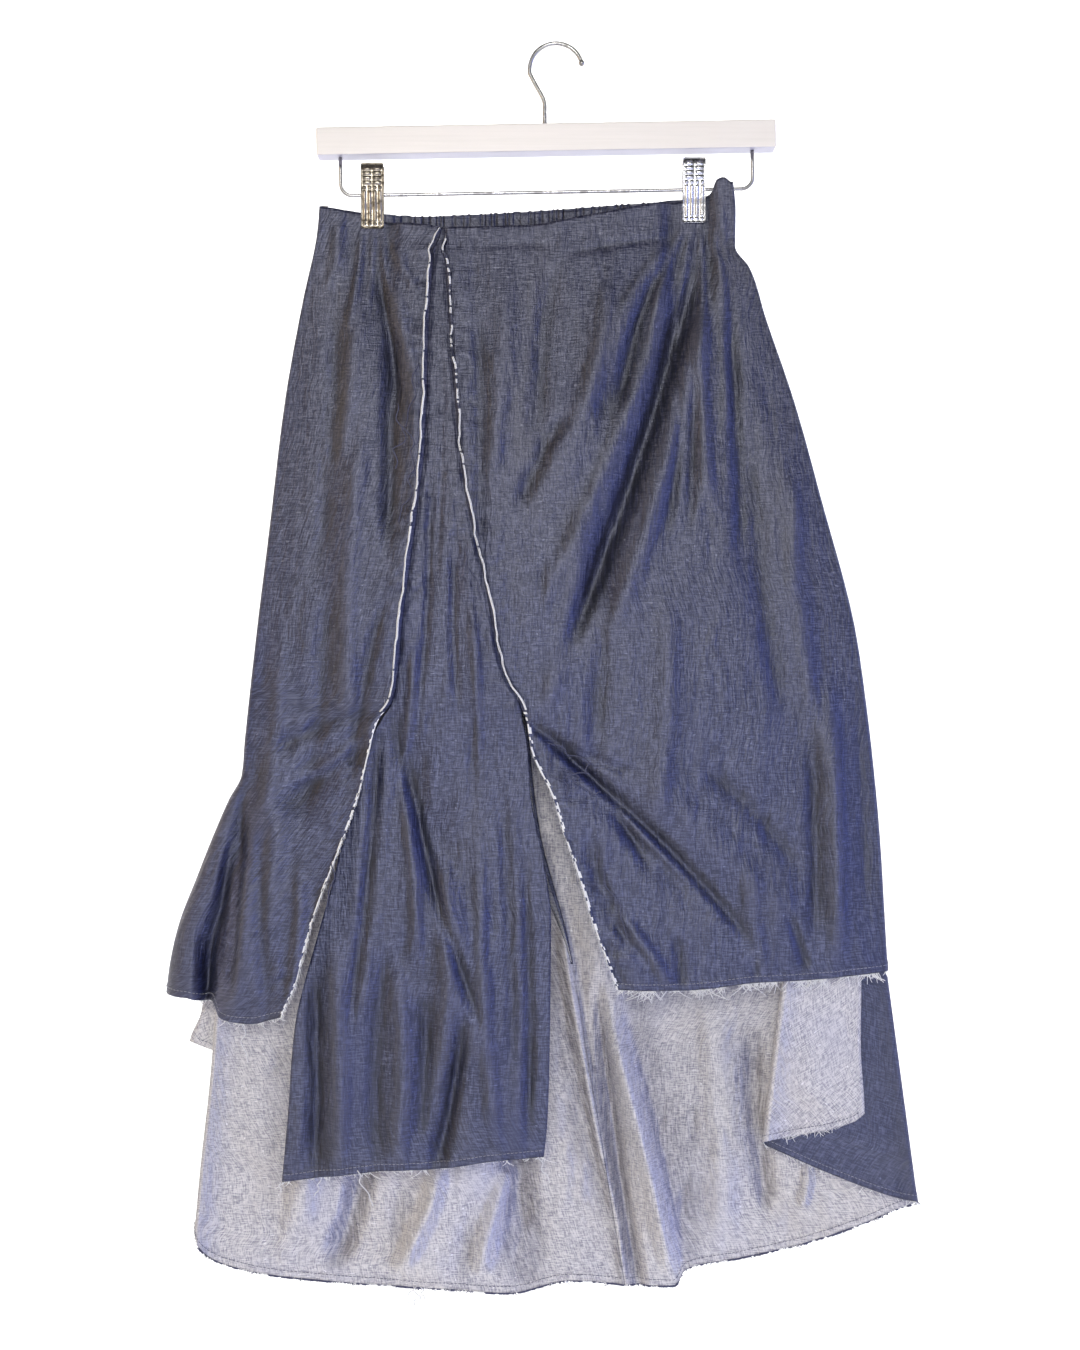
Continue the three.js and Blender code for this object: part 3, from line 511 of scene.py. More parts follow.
def shell(name, surface, across, down, face, hem=(), thick=CLOTH, bright=None, bias=None):
    """A closed cloth shell. surface(across, down) gives the middle points in millimetres;
    both sides lie half the thickness off it along its normal, the cross product of its
    downward and sideways steps, and four strips close the rim. face is 1 where the dark
    side lies along that normal, -1 where it lies against it and 0 for both sides dark.
    hem names the ends that are folded double, and bright marks the cells that show bare
    thread. The cloth map is the distance along each row and the drop, and bias turns it
    where a flap is cut slant. Each point keeps how far it lies below the softened cloth,
    with more along a hem's fold, and how far its normal turns right of the softened one:
    the material paints shade into the troughs and the hem's fold, and tints the walls,
    from these."""
    a, d = np.meshgrid(across, down, indexing="ij")
    middle = surface(a, d)
    sideways, downwards = np.gradient(middle, axis=0), np.gradient(middle, axis=1)
    normal = np.cross(downwards, sideways)
    normal /= np.linalg.norm(normal, axis=2, keepdims=True) + 1e-12
    columns, rows = len(across) - 1, len(down) - 1
    thickness = np.full(middle.shape[:2], float(thick))
    if "foot" in hem:
        below = np.linalg.norm(middle[:, -1:] - middle, axis=2)
        thickness += 0.55 * (1 - step(5.4, 7.0, below)) + 0.3 * np.exp(-((below - 6.3) / 0.8) ** 2)
    if "head" in hem:
        above = np.linalg.norm(middle - middle[:, :1], axis=2)
        thickness += 0.5 * (1 - step(7.0, 9.0, above))
    offset = normal * thickness[..., None] / 2
    points = np.stack([middle + offset, middle - offset])
    faces = shell_faces(columns, rows)
    bright = np.zeros((columns, rows), bool) if bright is None else bright
    over, under = {1: (0, 1), -1: (1, 0), 0: (0, 0)}[face]
    slots = np.concatenate([
        np.where(bright, 2, over).ravel(), np.where(bright, 2, under).ravel(),
        np.full(columns, 0 if "head" in hem else 2), np.full(columns, 0 if "foot" in hem else 2),
        np.where(bright[0], 2, 0), np.where(bright[-1], 2, 0)])
    along = np.cumsum(np.linalg.norm(np.diff(middle, axis=0), axis=2), 0)
    u = middle[:1, :, 0] + np.concatenate([np.zeros((1, rows + 1)), along])
    place = np.stack([u, middle[..., 2]], 2) * MM
    place = np.stack([place, place]).reshape(-1, 2)[faces.ravel()].reshape(-1, 4, 2)
    if bias is not None:
        turned = np.repeat(np.radians(bias), rows)
        turned = np.concatenate([turned, turned, np.zeros(2 * columns + 2 * rows)])
        cos, sin = np.cos(turned)[:, None], np.sin(turned)[:, None]
        place = np.stack([place[..., 0] * cos - place[..., 1] * sin,
                          place[..., 0] * sin + place[..., 1] * cos], 2)
    piece = solid_piece(name, points * MM, faces, [chambray_face, chambray_back, raw_edge], slots, place)
    below_mean = np.sum((softened(middle) - middle) * normal, 2)
    turned_right = (normal - softened(normal))[..., 0]
    # Painted shade along a hem's fold: the hollow value is raised near the foot edge.
    rim = 1.5 * np.exp(-(below / 1.1) ** 2) if "foot" in hem else 0
    add_value(piece, "hollow", np.stack([below_mean + rim, rim - below_mean]))
    add_value(piece, "facing", np.stack([turned_right, -turned_right]))
    return piece


def in_metres(x, y, drop):
    """Points in millimetres as an array with x, y and z last."""
    return np.stack(np.broadcast_arrays(x, y, -drop), -1)


def strands(name, paths, radius, materials, sides=4):
    """Thin tubes round many paths at once: rings of a few corners, turned across each
    path's own direction, with both ends closed by one face."""
    count, rings = paths.shape[:2]
    ahead = np.gradient(paths, axis=1)
    ahead /= np.linalg.norm(ahead, axis=2, keepdims=True) + 1e-12
    aside = np.cross(ahead, np.array([0.13, 0.97, 0.21]))
    aside /= np.linalg.norm(aside, axis=2, keepdims=True) + 1e-12
    other = np.cross(ahead, aside)
    angle = 2 * np.pi * np.arange(sides) / sides
    ring = aside[..., None, :] * np.cos(angle)[:, None] + other[..., None, :] * np.sin(angle)[:, None]
    points = paths[:, :, None] + ring * np.broadcast_to(radius, (count, rings))[..., None, None]
    index = np.arange(count * rings * sides).reshape(count, rings, sides)
    turned = np.roll(index, -1, 2)
    walls = np.stack([index[:, :-1], turned[:, :-1], turned[:, 1:], index[:, 1:]], -1).reshape(-1, 4)
    faces = walls.tolist() + index[:, 0, ::-1].tolist() + index[:, -1].tolist()
    return solid_piece(name, points * MM, faces, materials)


def seam_line(surface, share, down, off, spacing):
    """Points and outward normals along a line on a surface, so many millimetres apart and
    so many off it. share and down are equally long arrays that say where the line runs."""
    nudge = 0.002
    at = surface(share, down)
    normal = np.cross(surface(share, down + nudge) - surface(share, down - nudge),
                      surface(share + nudge, down) - surface(share - nudge, down))
    normal /= np.linalg.norm(normal, axis=-1, keepdims=True) + 1e-12
    length = np.concatenate([[0], np.cumsum(np.linalg.norm(np.diff(at, axis=0), axis=1))])
    places = np.arange(0, length[-1], spacing)
    even = [np.stack([np.interp(places, length, column) for column in rows.T], 1) for rows in (at, normal)]
    return even[0] + even[1] * off, even[1]


def stitches(name, points, normals, length, thick, material):
    """A row of short raised stitches on a line of points: each is a strand of four rings
    that dives into the cloth at both ends."""
    ahead = np.gradient(points, axis=0)
    ahead /= np.linalg.norm(ahead, axis=1, keepdims=True)
    t = np.array([-0.5, -0.3, 0.3, 0.5]) * length
    lift = np.array([-0.15, 0.25, 0.25, -0.15])
    paths = points[:, None] + ahead[:, None] * t[:, None] + normals[:, None] * lift[:, None]
    return strands(name, paths, np.array([0.5, 1, 1, 0.5]) * thick / 2, [material])


def whiskers(name, seed, points, outward, length, thick, material, spread, curl, across=(1.0, 0, 0)):
    """Frayed ends: at each point a thread of six rings that leaves along outward, with a
    seeded turn to either side and a curl that grows as the square of its length."""
    rng = np.random.default_rng(seed)
    count = len(points)
    long = rng.uniform(*length, count) * rng.choice([0.5, 1, 1, 1.25], count)
    side = rng.normal(0, spread, count)
    curled = rng.normal(0, curl, count)
    depth = rng.normal(0, 0.25, count)
    t = np.linspace(0, 1, 6)
    outward = np.broadcast_to(outward, (count, 3))
    sideways = np.broadcast_to(across, (count, 3))
    far = t[None, :, None] * long[:, None, None]
    bent = (side[:, None] * t + curled[:, None] * t**2)[..., None] * long[:, None, None]
    into = (depth[:, None] * t)[..., None] * long[:, None, None] * np.array([0, 1, 0])
    paths = points[:, None] + outward[:, None] * far + sideways[:, None] * bent + into
    return strands(name, paths, thick / 2 * (1 - 0.5 * t), [material], 3)


# Long back
# Two halves of the same cloth, joined by the centre back seam and long at the hem. Each
# is cut so wide below that it folds over twice beside the side seam: the right one comes
# forward and shows its pale side as a flap, and the left one folds away behind.

BACK_RIGHT_HEM = table("across drop", [
    (0, 977), (0.09, 977.5), (0.115, 965), (0.22, 955), (0.33, 943), (0.44, 925), (0.5, 912),
    (0.54, 906), (0.58, 902), (0.68, 882), (0.77, 861), (0.79, 857), (0.83, 853), (0.98, 840), (1, 834),
])
BACK_LEFT_HEM = table("across drop", [
    (0, 977), (0.08, 974), (0.17, 983.5), (0.28, 978), (0.45, 970), (0.57, 959), (0.62, 947),
    (0.65, 929), (0.69, 915), (0.78, 858), (0.83, 822), (0.87, 810), (0.98, 788), (1, 783),
])
RIGHT_FLUTE = {
    "apex": 400, "full": 728, "outer_y": 18, "turn": -4, "drift": 0, "settle": 2.5, "spread": 1,
    "first": table("drop x", [(728, 261), (795, 270), (907, 285)]),
    "second": table("drop x", [(728, 177.5), (770, 172), (857, 162)]),
    "run": 0.52, "bend": 0.04, "middle": 0.21,
}
LEFT_FLUTE = {
    "apex": 560, "full": 748, "outer_y": 14, "turn": 3.4, "drift": 2.4, "settle": 1.5, "spread": 1.6,
    "first": table("drop x", [(748, -268), (812, -273), (875, -280), (928, -285)]),
    "second": table("drop x", [(748, -196), (928, -196)]),
    "run": 0.63, "bend": 0.04, "middle": 0.14,
}
FOLD_COLUMNS = "x1 drop1 x2 drop2 bow width depth"
BACK_FOLDS = table(FOLD_COLUMNS, [
    (-150, 170, -170, 620, 0, 24, -5),
    (-90, 170, -110, 900, 0, 26, 6),
    (-10, 200, 0, 640, 0, 24, -5),
    (60, 200, 90, 600, 0, 26, 5),
    (20, 640, 78, 975, 0, 18, 8),
    (-50, 700, -20, 975, 0, 22, -8),
    (-60, 860, -110, 975, 0, 22, 6),
])
# Narrower creases that the photograph shows inside the back, and like ones higher up. Their
# depths are all taken this many times.
BACK_CREASE_STRENGTH = 2.6
BACK_CREASES = table(FOLD_COLUMNS, [
    (34, 745, 66, 975, -2, 5, -5),
    (42, 765, 91, 962, 3, 8, 5),
    (4, 690, 44, 905, -2, 4, 3),
    (-92, 880, -124, 960, 4, 7, 3),
    (-31, 880, -61, 965, -3, 7, 3),
    (200, 880, 196, 912, 2, 3, 1.6),
    (-150, 850, -175, 955, 5, 10, -3),
    (-190, 760, -205, 930, 4, 12, 3),
    (-40, 800, -30, 930, 0, 9, -2.5),
    (120, 740, 132, 945, 5, 14, 2.5),
    (158, 770, 170, 915, -4, 9, -1.6),
    (-120, 230, -150, 470, 8, 6, 2.2),
    (-62, 260, -84, 520, -6, 7, -2.4),
    (-15, 240, 12, 470, 5, 6, 2),
    (92, 190, 60, 420, 9, 6, 2.6),
    (40, 330, 96, 560, -7, 8, -2.4),
    (118, 260, 150, 520, 6, 8, 2.2),
    (-190, 330, -205, 600, 5, 8, -2),
    (12, 520, 60, 700, 5, 8, 2.2),
    (-110, 560, -80, 760, -6, 8, 2.2),
])
BACK_CRINKLES = crinkles(11, 420, (-230, 225), (165, 930), (22, 75), (0.35, 1.0))


def casing_foot(x):
    """Lower edge of the waist casing: a straight line from one side seam to the other."""
    left = read(LEFT_SIDE, "seam", WAIST_SIDE_DROP)
    right = read(RIGHT_SIDE, "seam", WAIST_SIDE_DROP)
    return mix(152.5, 150, (x - left) / (right - left))


def flute_ends(flute):
    """Shares across a back half where its run, its first turn, its middle layer and its
    second turn end."""
    return np.cumsum([flute["run"], flute["bend"], flute["middle"], flute["bend"]])


def back_half(side, flute, hem):
    """A back half's surface. Above the apex it is the back's own depth. Below it, the
    width is a run, a half turn, a middle layer, a second half turn and an end, and the
    smooth shape passes into that folded one with the drop: the weight is 0 at the apex
    and 1 where the flute is full, a softened root for the depth, a power for the width.
    The creases fade towards the side seam and on the folded layers, and the cloth dips
    1.1 mm along the centre back seam."""
    sign = -1 if side is LEFT_SIDE else 1
    radius = abs(flute["turn"])
    ends = flute_ends(flute)

    def folded(share, drop, centre, seam, lap):
        """Place across and depth where the flute is full."""
        first = read(flute["first"], "x", drop) - sign * radius
        second = read(flute["second"], "x", drop) + sign * radius
        middle_y = flute["outer_y"] + 2 * flute["turn"]
        last_y = middle_y + flute["drift"]
        t1 = np.clip(share / ends[0], 0, 1)
        turn1 = np.pi * np.clip((share - ends[0]) / flute["bend"], 0, 1)
        t2 = np.clip((share - ends[1]) / flute["middle"], 0, 1)
        turn2 = np.pi * np.clip((share - ends[2]) / flute["bend"], 0, 1)
        t3 = np.clip((share - ends[3]) / (1 - ends[3]), 0, 1)
        part = [share <= ends[0], share <= ends[1], share <= ends[2], share <= ends[3]]
        x = np.select(part, [mix(centre, first, t1), first + sign * radius * np.sin(turn1),
                             mix(first, second, t2), second - sign * radius * np.sin(turn2)],
                      mix(second, seam, t3))
        run_y = mix(layer_y("back", centre, drop), flute["outer_y"], t1 ** flute["settle"])
        y = np.select(part, [run_y, flute["outer_y"] + flute["turn"] * (1 - np.cos(turn1)),
                             mix(middle_y, last_y, t2), last_y + flute["turn"] * (1 - np.cos(turn2))],
                      last_y + 2 * flute["turn"] + lap)
        return x, y

    def surface(share, down):
        seam_top = read(side, "seam", WAIST_SIDE_DROP)
        top = casing_foot(mix(BACK_SEAM["x"][0], seam_top, share)) - 1
        drop = mix(top, read(hem, "drop", share), down)
        centre = read(BACK_SEAM, "x", drop) + sign * 0.05
        seam = read(side, "seam", drop) - sign * 0.15
        lap = 1.9 * step(ends[3], 1, share)
        smooth_x = mix(centre, seam, share)
        smooth_y = layer_y("back", smooth_x, drop) + lap
        weight = np.clip((drop - flute["apex"]) / (flute["full"] - flute["apex"]), 0, 1)
        folded_x, folded_y = folded(share, drop, centre, seam, lap)
        x = mix(smooth_x, folded_x, weight ** flute["spread"])
        started = step(0, 0.3, weight)
        still = mix(step(0.6, 0.85, share), step(ends[0] * 0.75, ends[0], share), started)
        calm = (1 - still) * (1 - step(0.8, 1, share))
        relief = folds(BACK_FOLDS, x, drop) + BACK_CREASE_STRENGTH * folds(BACK_CREASES, x, drop)
        relief = (relief + small_folds(BACK_CRINKLES, x, drop)) * calm
        groove = 1.1 * np.exp(-(share * 330 / 2.2) ** 2)
        y = mix(smooth_y, folded_y, np.sqrt(weight) * started) - relief - groove
        return in_metres(x, y, drop)

    return surface


def spaced(*spans):
    """Shares along a side: (start, end, steps) for each span, without repeats."""
    return np.unique(np.concatenate([np.linspace(a, b, n + 1) for a, b, n in spans]).round(9))


back_halves = {}
for name, side, flute, hem, flap_bias in (
    ("back_left", LEFT_SIDE, LEFT_FLUTE, BACK_LEFT_HEM, 24),
    ("back_right", RIGHT_SIDE, RIGHT_FLUTE, BACK_RIGHT_HEM, -38),
):
    surface = back_half(side, flute, hem)
    ends = flute_ends(flute)
    across = spaced((0, 0.012, 3), (0.012, ends[0], 88), (ends[0], ends[1], 10),
                    (ends[1], ends[2], 34), (ends[2], ends[3], 10), (ends[3], 1, 20))
    down = spaced((0, 0.985, 200), (0.985, 1, 7))
    middle = (across[1:] + across[:-1]) / 2
    half_bend = flute["bend"] / 2
    bias = flap_bias * (0.5 * (middle > ends[0] + half_bend) + 0.5 * (middle > ends[3] - half_bend))
    piece = shell(name, surface, across, down, -1 if side is RIGHT_SIDE else 1, ("foot",), bias=bias)
    back_halves[name] = (piece, surface)
    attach(piece, "root")
    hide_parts("skirt_" + name)


# Waist casing
# A turned-in casing of the same cloth along the top of the back, with elastic drawn
# through it, so that it stands in uneven gathers except where the clips press it flat.

GATHERS = 56


def gather_wave(share):
    """Uneven gathers: narrow ridges, |cos|^7, between round dips towards the wearer;
    their phase and height wander with seeded slow waves."""
    rng = np.random.default_rng(3)
    phase = share * GATHERS
    for waves, swing in ((7, 0.45), (17, 0.28), (29, 0.12)):
        phase = phase + swing * np.sin(2 * np.pi * (waves * share + rng.random()))
    height = 1 + 0.35 * np.sin(2 * np.pi * (11 * share + rng.random())) * np.sin(2 * np.pi * 5.3 * share)
    return height * (abs(np.cos(np.pi * phase)) ** 7 * 1.6 - 0.4)


def casing_surface(share, down):
    """The back's own depth plus 0.65 mm gathers, which are full at the top and half at the
    foot; the top edge dips between gathers, and two rows of stitching pull it in."""
    left = read(LEFT_SIDE, "seam", WAIST_SIDE_DROP) + 0.1
    right = read(RIGHT_SIDE, "seam", WAIST_SIDE_DROP) - 0.1
    x = mix(left, right, share)
    free = (1 - pressed(x, 140)) * step(0, 0.03, share) * (1 - step(0.9, 0.95, share))
    wave = gather_wave(share) * free
    drop = mix(read(WAIST, "back", x) + 0.5 - 0.7 * wave, casing_foot(x), down)
    swell = 1 - 0.35 * np.exp(-((down - 0.13) / 0.04) ** 2) - 0.35 * np.exp(-((down - 0.84) / 0.05) ** 2)
    y = layer_y("back", x, drop) + (wave * 0.65 * mix(1, 0.5, down) * swell + 0.4 * (1 - pressed(x, 140)))
    shift = 0.5 * np.cos(2 * np.pi * share * GATHERS) * free * (1 - down)
    return in_metres(x + shift, y, drop)


waist_casing = shell("waist_casing_cloth", casing_surface, spaced((0, 1, 600)), spaced((0, 1, 18)), 0,
                     thick=0.6)
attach(waist_casing, "root")
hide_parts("waist_casing")


# Front panels
# A narrow left panel, a long narrow centre panel and a wide right panel. The side panels
# run round the sides to the side seams, and their free edges below the slits are raw.

FRONT_RUN = 0.82
SIDE_TURN = 0.13
SIDE_CREASE_STRENGTH = 1.6
CENTRE_CREASE_STRENGTH = 1.9
LEFT_HEM = table("across drop", [
    (0, 753.5), (0.12, 756.5), (0.25, 759.3), (0.45, 757.8), (0.53, 755), (0.58, 747),
    (0.62, 743.5), (0.7, 744.3), (0.82, 741.5), (0.9, 739), (1, 748),
])
RIGHT_HEM = table("across drop", [
    (0, 731.5), (0.2, 732.5), (0.45, 727), (0.55, 726.5), (0.8, 722), (0.9, 719.5), (1, 719),
])
CENTRE_HEM = table("across drop", [(0, 883), (0.22, 877), (0.4, 872.5), (0.6, 871), (0.8, 865), (1, 861.5)])
LEFT_FOLDS = table(FOLD_COLUMNS, [
    (-142, 170, -123, 285, 0, 12, 4),
    (-130, 270, -125, 380, 0, 12, 4),
    (-138, 525, -215, 600, 0, 13, 4),
    (-215, 560, -236, 755, 0, 16, -6),
    (-256, 590, -276, 752, 0, 11, 17),
    (-240, 640, -252, 756, 0, 9, -5),
])
LEFT_CREASES = table(FOLD_COLUMNS, [
    (-141, 168, -122, 284, 3, 4.5, 2.6),
    (-134, 150, -112, 250, -2, 5, -1.5),
    (-129, 226, -131, 402, 2, 6, 2),
    (-152, 150, -168, 330, 4, 7, -1.6),
    (-170, 170, -186, 420, 5, 8, 1.6),
    (-112, 240, -110, 330, 2, 4, -1.2),
    (-150, 300, -160, 520, -5, 8, -2),
    (-176, 420, -196, 600, 4, 8, 1.8),
    (-132, 430, -158, 575, -4, 5, 1.8),
    (-145, 520, -214, 548, -4, 6, 2),
    (-140, 528, -205, 575, 4, 5, -1.8),
    (-214, 470, -226, 600, 3, 7, -1.6),
    (-245, 577, -253, 742, 3, 5, 3),
    (-225, 600, -222, 745, -4, 6, 2),
    (-197, 640, -206, 750, 3, 5, -1.8),
    (-283, 673, -272, 746, 2, 5, 2),
    (-262, 610, -262, 745, -3, 5, -2),
])
RIGHT_FOLDS = table(FOLD_COLUMNS, [
    (112, 158, 8, 470, 7, 15, 6),
    (84, 205, 28, 300, 0, 13, 3),
    (103, 265, 84, 410, 0, 13, 1.5),
    (134, 200, 152, 400, 0, 14, 1.5),
    (60, 190, 0, 350, 0, 18, -4),
    (-18, 528, 110, 665, 0, 12, 4),
    (60, 560, 190, 690, 0, 16, -4),
    (212, 510, 218, 715, 0, 14, -5),
    (48, 690, 70, 735, 0, 12, -3),
])
RIGHT_CREASES = table(FOLD_COLUMNS, [
    (111, 156, 9, 468, 7, 7, 4.6),
    (121, 178, 36, 470, 7, 7, -2),
    (8, 165, 97, 151, 2, 3, 0.9),
    (-62, 160, 0, 158, 2, 2.5, 0.5),
    (92, 176, -8, 432, 6, 7, -2),
    (96, 262, 84, 380, 3, 4, 1.8),
    (106, 240, 101, 379, 3, 4, 1.6),
    (112, 210, 118, 360, -3, 6, -2),
    (131, 192, 142, 405, 3, 5, 2),
    (122, 170, 132, 300, 3, 4, -1.5),
    (71, 200, 50, 281, -3, 5, 2),
    (86, 172, 52, 250, -4, 4, 1.6),
    (7, 290, -27, 359, -2, 6, 2),
    (40, 170, 18, 300, 4, 7, -1.8),
    (0, 170, -14, 320, -4, 8, 1.6),
    (-40, 180, -52, 340, 4, 8, -1.6),
    (-62, 200, -60, 400, 3, 6, 1.3),
    (20, 380, -10, 520, 5, 9, -2),
    (48, 400, 30, 560, -5, 9, 1.8),
    (84, 430, 76, 600, 5, 9, -2),
    (150, 300, 176, 520, -6, 9, 2.2),
    (180, 330, 206, 560, -5, 9, -2.2),
    (212, 500, 217, 705, 2, 6, -2.6),
    (196, 520, 199, 690, 3, 6, 1.8),
    (232, 470, 240, 660, 3, 6, 1.8),
    (-22, 531, 147, 692, 8, 5, 2.6),
    (-14, 540, 102, 650, 2, 4, -1.8),
    (-20, 528, 60, 566, -4, 4, 1.6),
    (0, 548, 70, 640, 8, 5, 1.8),
    (178, 675, 192, 716, 1, 4, 1.8),
    (44, 672, 86, 728, 3, 5, -2),
    (22, 610, 62, 705, -5, 6, 1.8),
    (110, 560, 186, 640, 5, 7, 1.8),
    (90, 690, 96, 728, 1, 5, 1.5),
    (150, 640, 160, 722, -3, 7, -1.6),
])
# Where a clip bites, the cloth is drawn into short ridges that fan out below the jaws.
CLIP_PLEATS = table(FOLD_COLUMNS, [
    (99, 142, 72, 232, -3, 3, -2.2),
    (106, 142, 92, 250, -2, 2.6, -2),
    (113, 142, 112, 240, 1, 2.6, -2),
    (119, 140, 134, 236, 3, 3, -2.2),
    (94, 150, 50, 212, -3, 4, -1.4),
    (125, 128, 133, 170, 1, 3, -1.6),
    (130, 122, 134, 168, -1, 2.4, -1.2),
    (-151, 142, -163, 226, 2, 3, -1.8),
    (-143, 142, -146, 206, 1, 2.6, -1.4),
    (-135, 142, -124, 232, -2, 3, -2),
    (-130, 146, -106, 196, -2, 3, -1.2),
    (-168, 136, -178, 190, 2, 4, -1.2),
])
CENTRE_FOLDS = table(FOLD_COLUMNS, [
    (-128, 520, -85, 640, 0, 14, 4),
    (-140, 530, -158, 760, 0, 13, -4),
    (-84, 650, -60, 790, 0, 13, -5),
    (-187, 730, -186, 880, 0, 12, 5),
    (-76, 780, -92, 872, 0, 12, 5),
    (-40, 560, -30, 860, 0, 12, -3),
])
CENTRE_CREASES = table(FOLD_COLUMNS, [
    (-126, 522, -60, 755, -5, 5, 2.8),
    (-137, 530, -159, 755, 3, 5, 2.2),
    (-124, 528, -108, 700, 4, 5, -2.2),
    (-187, 722, -187, 866, 2, 6, 2.4),
    (-172, 690, -168, 868, 3, 7, -2),
    (-71, 752, -90, 862, 2, 5, 2.6),
    (-101, 740, -106, 848, 2, 6, 2.2),
    (-86, 640, -88, 800, 4, 7, -2),
    (-131, 700, -140, 866, -3, 8, 2),
    (-120, 720, -122, 868, 3, 6, -1.8),
    (-45, 560, -34, 800, 3, 6, 1.8),
    (-58, 620, -46, 850, -3, 6, -1.8),
    (-24, 640, -22, 850, 2, 4, 1.4),
    (-88, 200, -92, 420, 2, 3, 0.8),
    (-96, 330, -104, 500, 2, 4, 1.1),
    (-78, 380, -76, 520, -2, 4, 1.2),
    (-66, 430, -60, 560, 2, 4, -1.2),
    (-110, 470, -118, 560, 2, 4, -1.4),
])


def puckers(seed, edge, side, count, first=150, last=520):
    """Short level creases that start at a front seam and run out to one side of it."""
    rng = np.random.default_rng(seed)
    drop = rng.uniform(first, last, count)
    x = read(FRONT_EDGES, edge, drop)
    length = rng.uniform(5, 22, count)
    return {
        "x1": x, "drop1": drop,
        "x2": x + side * length, "drop2": drop + rng.normal(0, 0.35, count) * length,
        "bow": rng.normal(0, 1.5, count), "width": rng.uniform(1.9, 3.2, count),
        "depth": rng.uniform(0.25, 0.75, count) * rng.choice([-1, 1], count),
    }


def joined(*tables):
    """Several crease tables as one."""
    return {name: np.concatenate([rows[name] for rows in tables]) for name in tables[0]}


def seam_groove(near, drop):
    """How far a panel dips beside a front seam: 1.3 mm at the seam, gone 5 mm away and
    gone below the slit, where the panels hang free."""
    return 1.3 * np.exp(-(near / 2.4) ** 2) * (1 - step(SLIT_DROP - 6, SLIT_DROP + 10, drop))


def side_panel(side, edge, hem, big, fine, tiny):
    """A side panel's surface: most of its width runs from the slit edge to the turn, then
    comes a half circle round the outline, and the rest goes back to the side seam. Its
    creases fade at both edges, and the raw slit edge curls forward by about a millimetre."""
    sign = -1 if side is LEFT_SIDE else 1
    run, bend = FRONT_RUN, SIDE_TURN

    def surface(share, down):
        share, down = np.broadcast_arrays(share, down)
        waist_x = mix(FRONT_EDGES[edge][0], read(side, "x", WAIST_SIDE_DROP), np.minimum(share / run, 1))
        top = mix(read(WAIST, "front", waist_x), read(WAIST, "back", waist_x), step(run, run + bend, share))
        drop = mix(top, read(hem, "drop", share), down)
        outline, bow, middle = (read(side, name, drop) for name in ("x", "round", "back"))
        turn_x = outline - sign * bow
        closed = 0.14 * (1 - step(SLIT_DROP - 12, SLIT_DROP, drop))
        start = read(FRONT_EDGES, edge, drop) - sign * closed
        x = mix(start, turn_x, np.minimum(share / run, 1))
        calm = step(0, 0.06, share) * (1 - step(0.8, 1, share / run))
        near_calm = step(0, 0.02, share) * (1 - step(0.93, 1, share / run))
        relief = folds(big, x, drop) * calm
        fine_relief = SIDE_CREASE_STRENGTH * folds(fine, x, drop) + small_folds(tiny, x, drop)
        relief = relief + fine_relief * near_calm
        y = layer_y("front", x, drop) + relief * (1 - pressed(x, drop))
        y = y + folds(CLIP_PLEATS, x, drop) * near_calm
        y = y + seam_groove(abs(x - start), drop)
        curl = step(SLIT_DROP, SLIT_DROP + 30, drop) * np.exp(-(abs(x - start) / 1.6) ** 2)
        y = y - curl * (0.9 + 0.6 * np.sin(drop / 9.0) * np.sin(drop / 23.0))
        angle = np.pi * np.clip((share - run) / bend, 0, 1)
        tilt = lean(outline, drop)
        seam = read(side, "seam", drop) + sign * 0.1
        t = np.clip((share - run - bend) / (1 - run - bend), 0, 1)
        x = np.select([share <= run, share <= run + bend], [x, turn_x + sign * bow * np.sin(angle)],
                      mix(turn_x, seam, t))
        y = np.select([share <= run, share <= run + bend], [y, middle - bow * np.cos(angle) + tilt],
                      middle + bow + tilt)
        return in_metres(x, y, drop)

    return surface


def centre_surface(share, down):
    """The centre panel between both front seams: the front's own depth, set back by the
    recess table below the slits, with its creases fading at both edges."""
    share, down = np.broadcast_arrays(share, down)
    middle_x = (FRONT_EDGES["centre_left"][0] + FRONT_EDGES["centre_right"][0]) / 2
    top = read(WAIST, "front", middle_x)
    drop = mix(top, read(CENTRE_HEM, "drop", share), down)
    closed = 0.14 * (1 - step(SLIT_DROP - 12, SLIT_DROP, drop))
    left = read(FRONT_EDGES, "centre_left", drop) - closed
    right = read(FRONT_EDGES, "centre_right", drop) + closed
    x = mix(left, right, share)
    relief = folds(CENTRE_FOLDS, x, drop) * np.sqrt(np.sin(np.pi * np.clip(share, 0, 1)))
    edges = step(0, 0.05, share) * (1 - step(0.95, 1, share))
    narrow = step(8, 40, right - left)
    fine = CENTRE_CREASE_STRENGTH * folds(CENTRE_CREASES, x, drop) + small_folds(CENTRE_CRINKLES, x, drop)
    relief = relief + fine * edges * narrow
    y = layer_y("front", x, drop) + relief + read(CENTRE_RECESS, "y", drop)
    y = y + seam_groove(x - left, drop) + seam_groove(right - x, drop)
    return in_metres(x, y, drop)


def below_slit(surface, across, down, columns, jitter, seed):
    """Marks the outer cells of a slit edge as bare thread: the first column always, and
    the next ones in a seeded broken run."""
    rng = np.random.default_rng(seed)
    a, d = np.meshgrid((across[1:] + across[:-1]) / 2, (down[1:] + down[:-1]) / 2, indexing="ij")
    drop = -surface(a, d)[..., 2]
    marked = np.zeros(a.shape, bool)
    marked[0] = (drop[0] > SLIT_DROP) & (rng.random(a.shape[1]) > jitter / 2)
    for column in range(1, columns):
        marked[column] = (drop[column] > SLIT_DROP) & (rng.random(a.shape[1]) < jitter)
    return marked


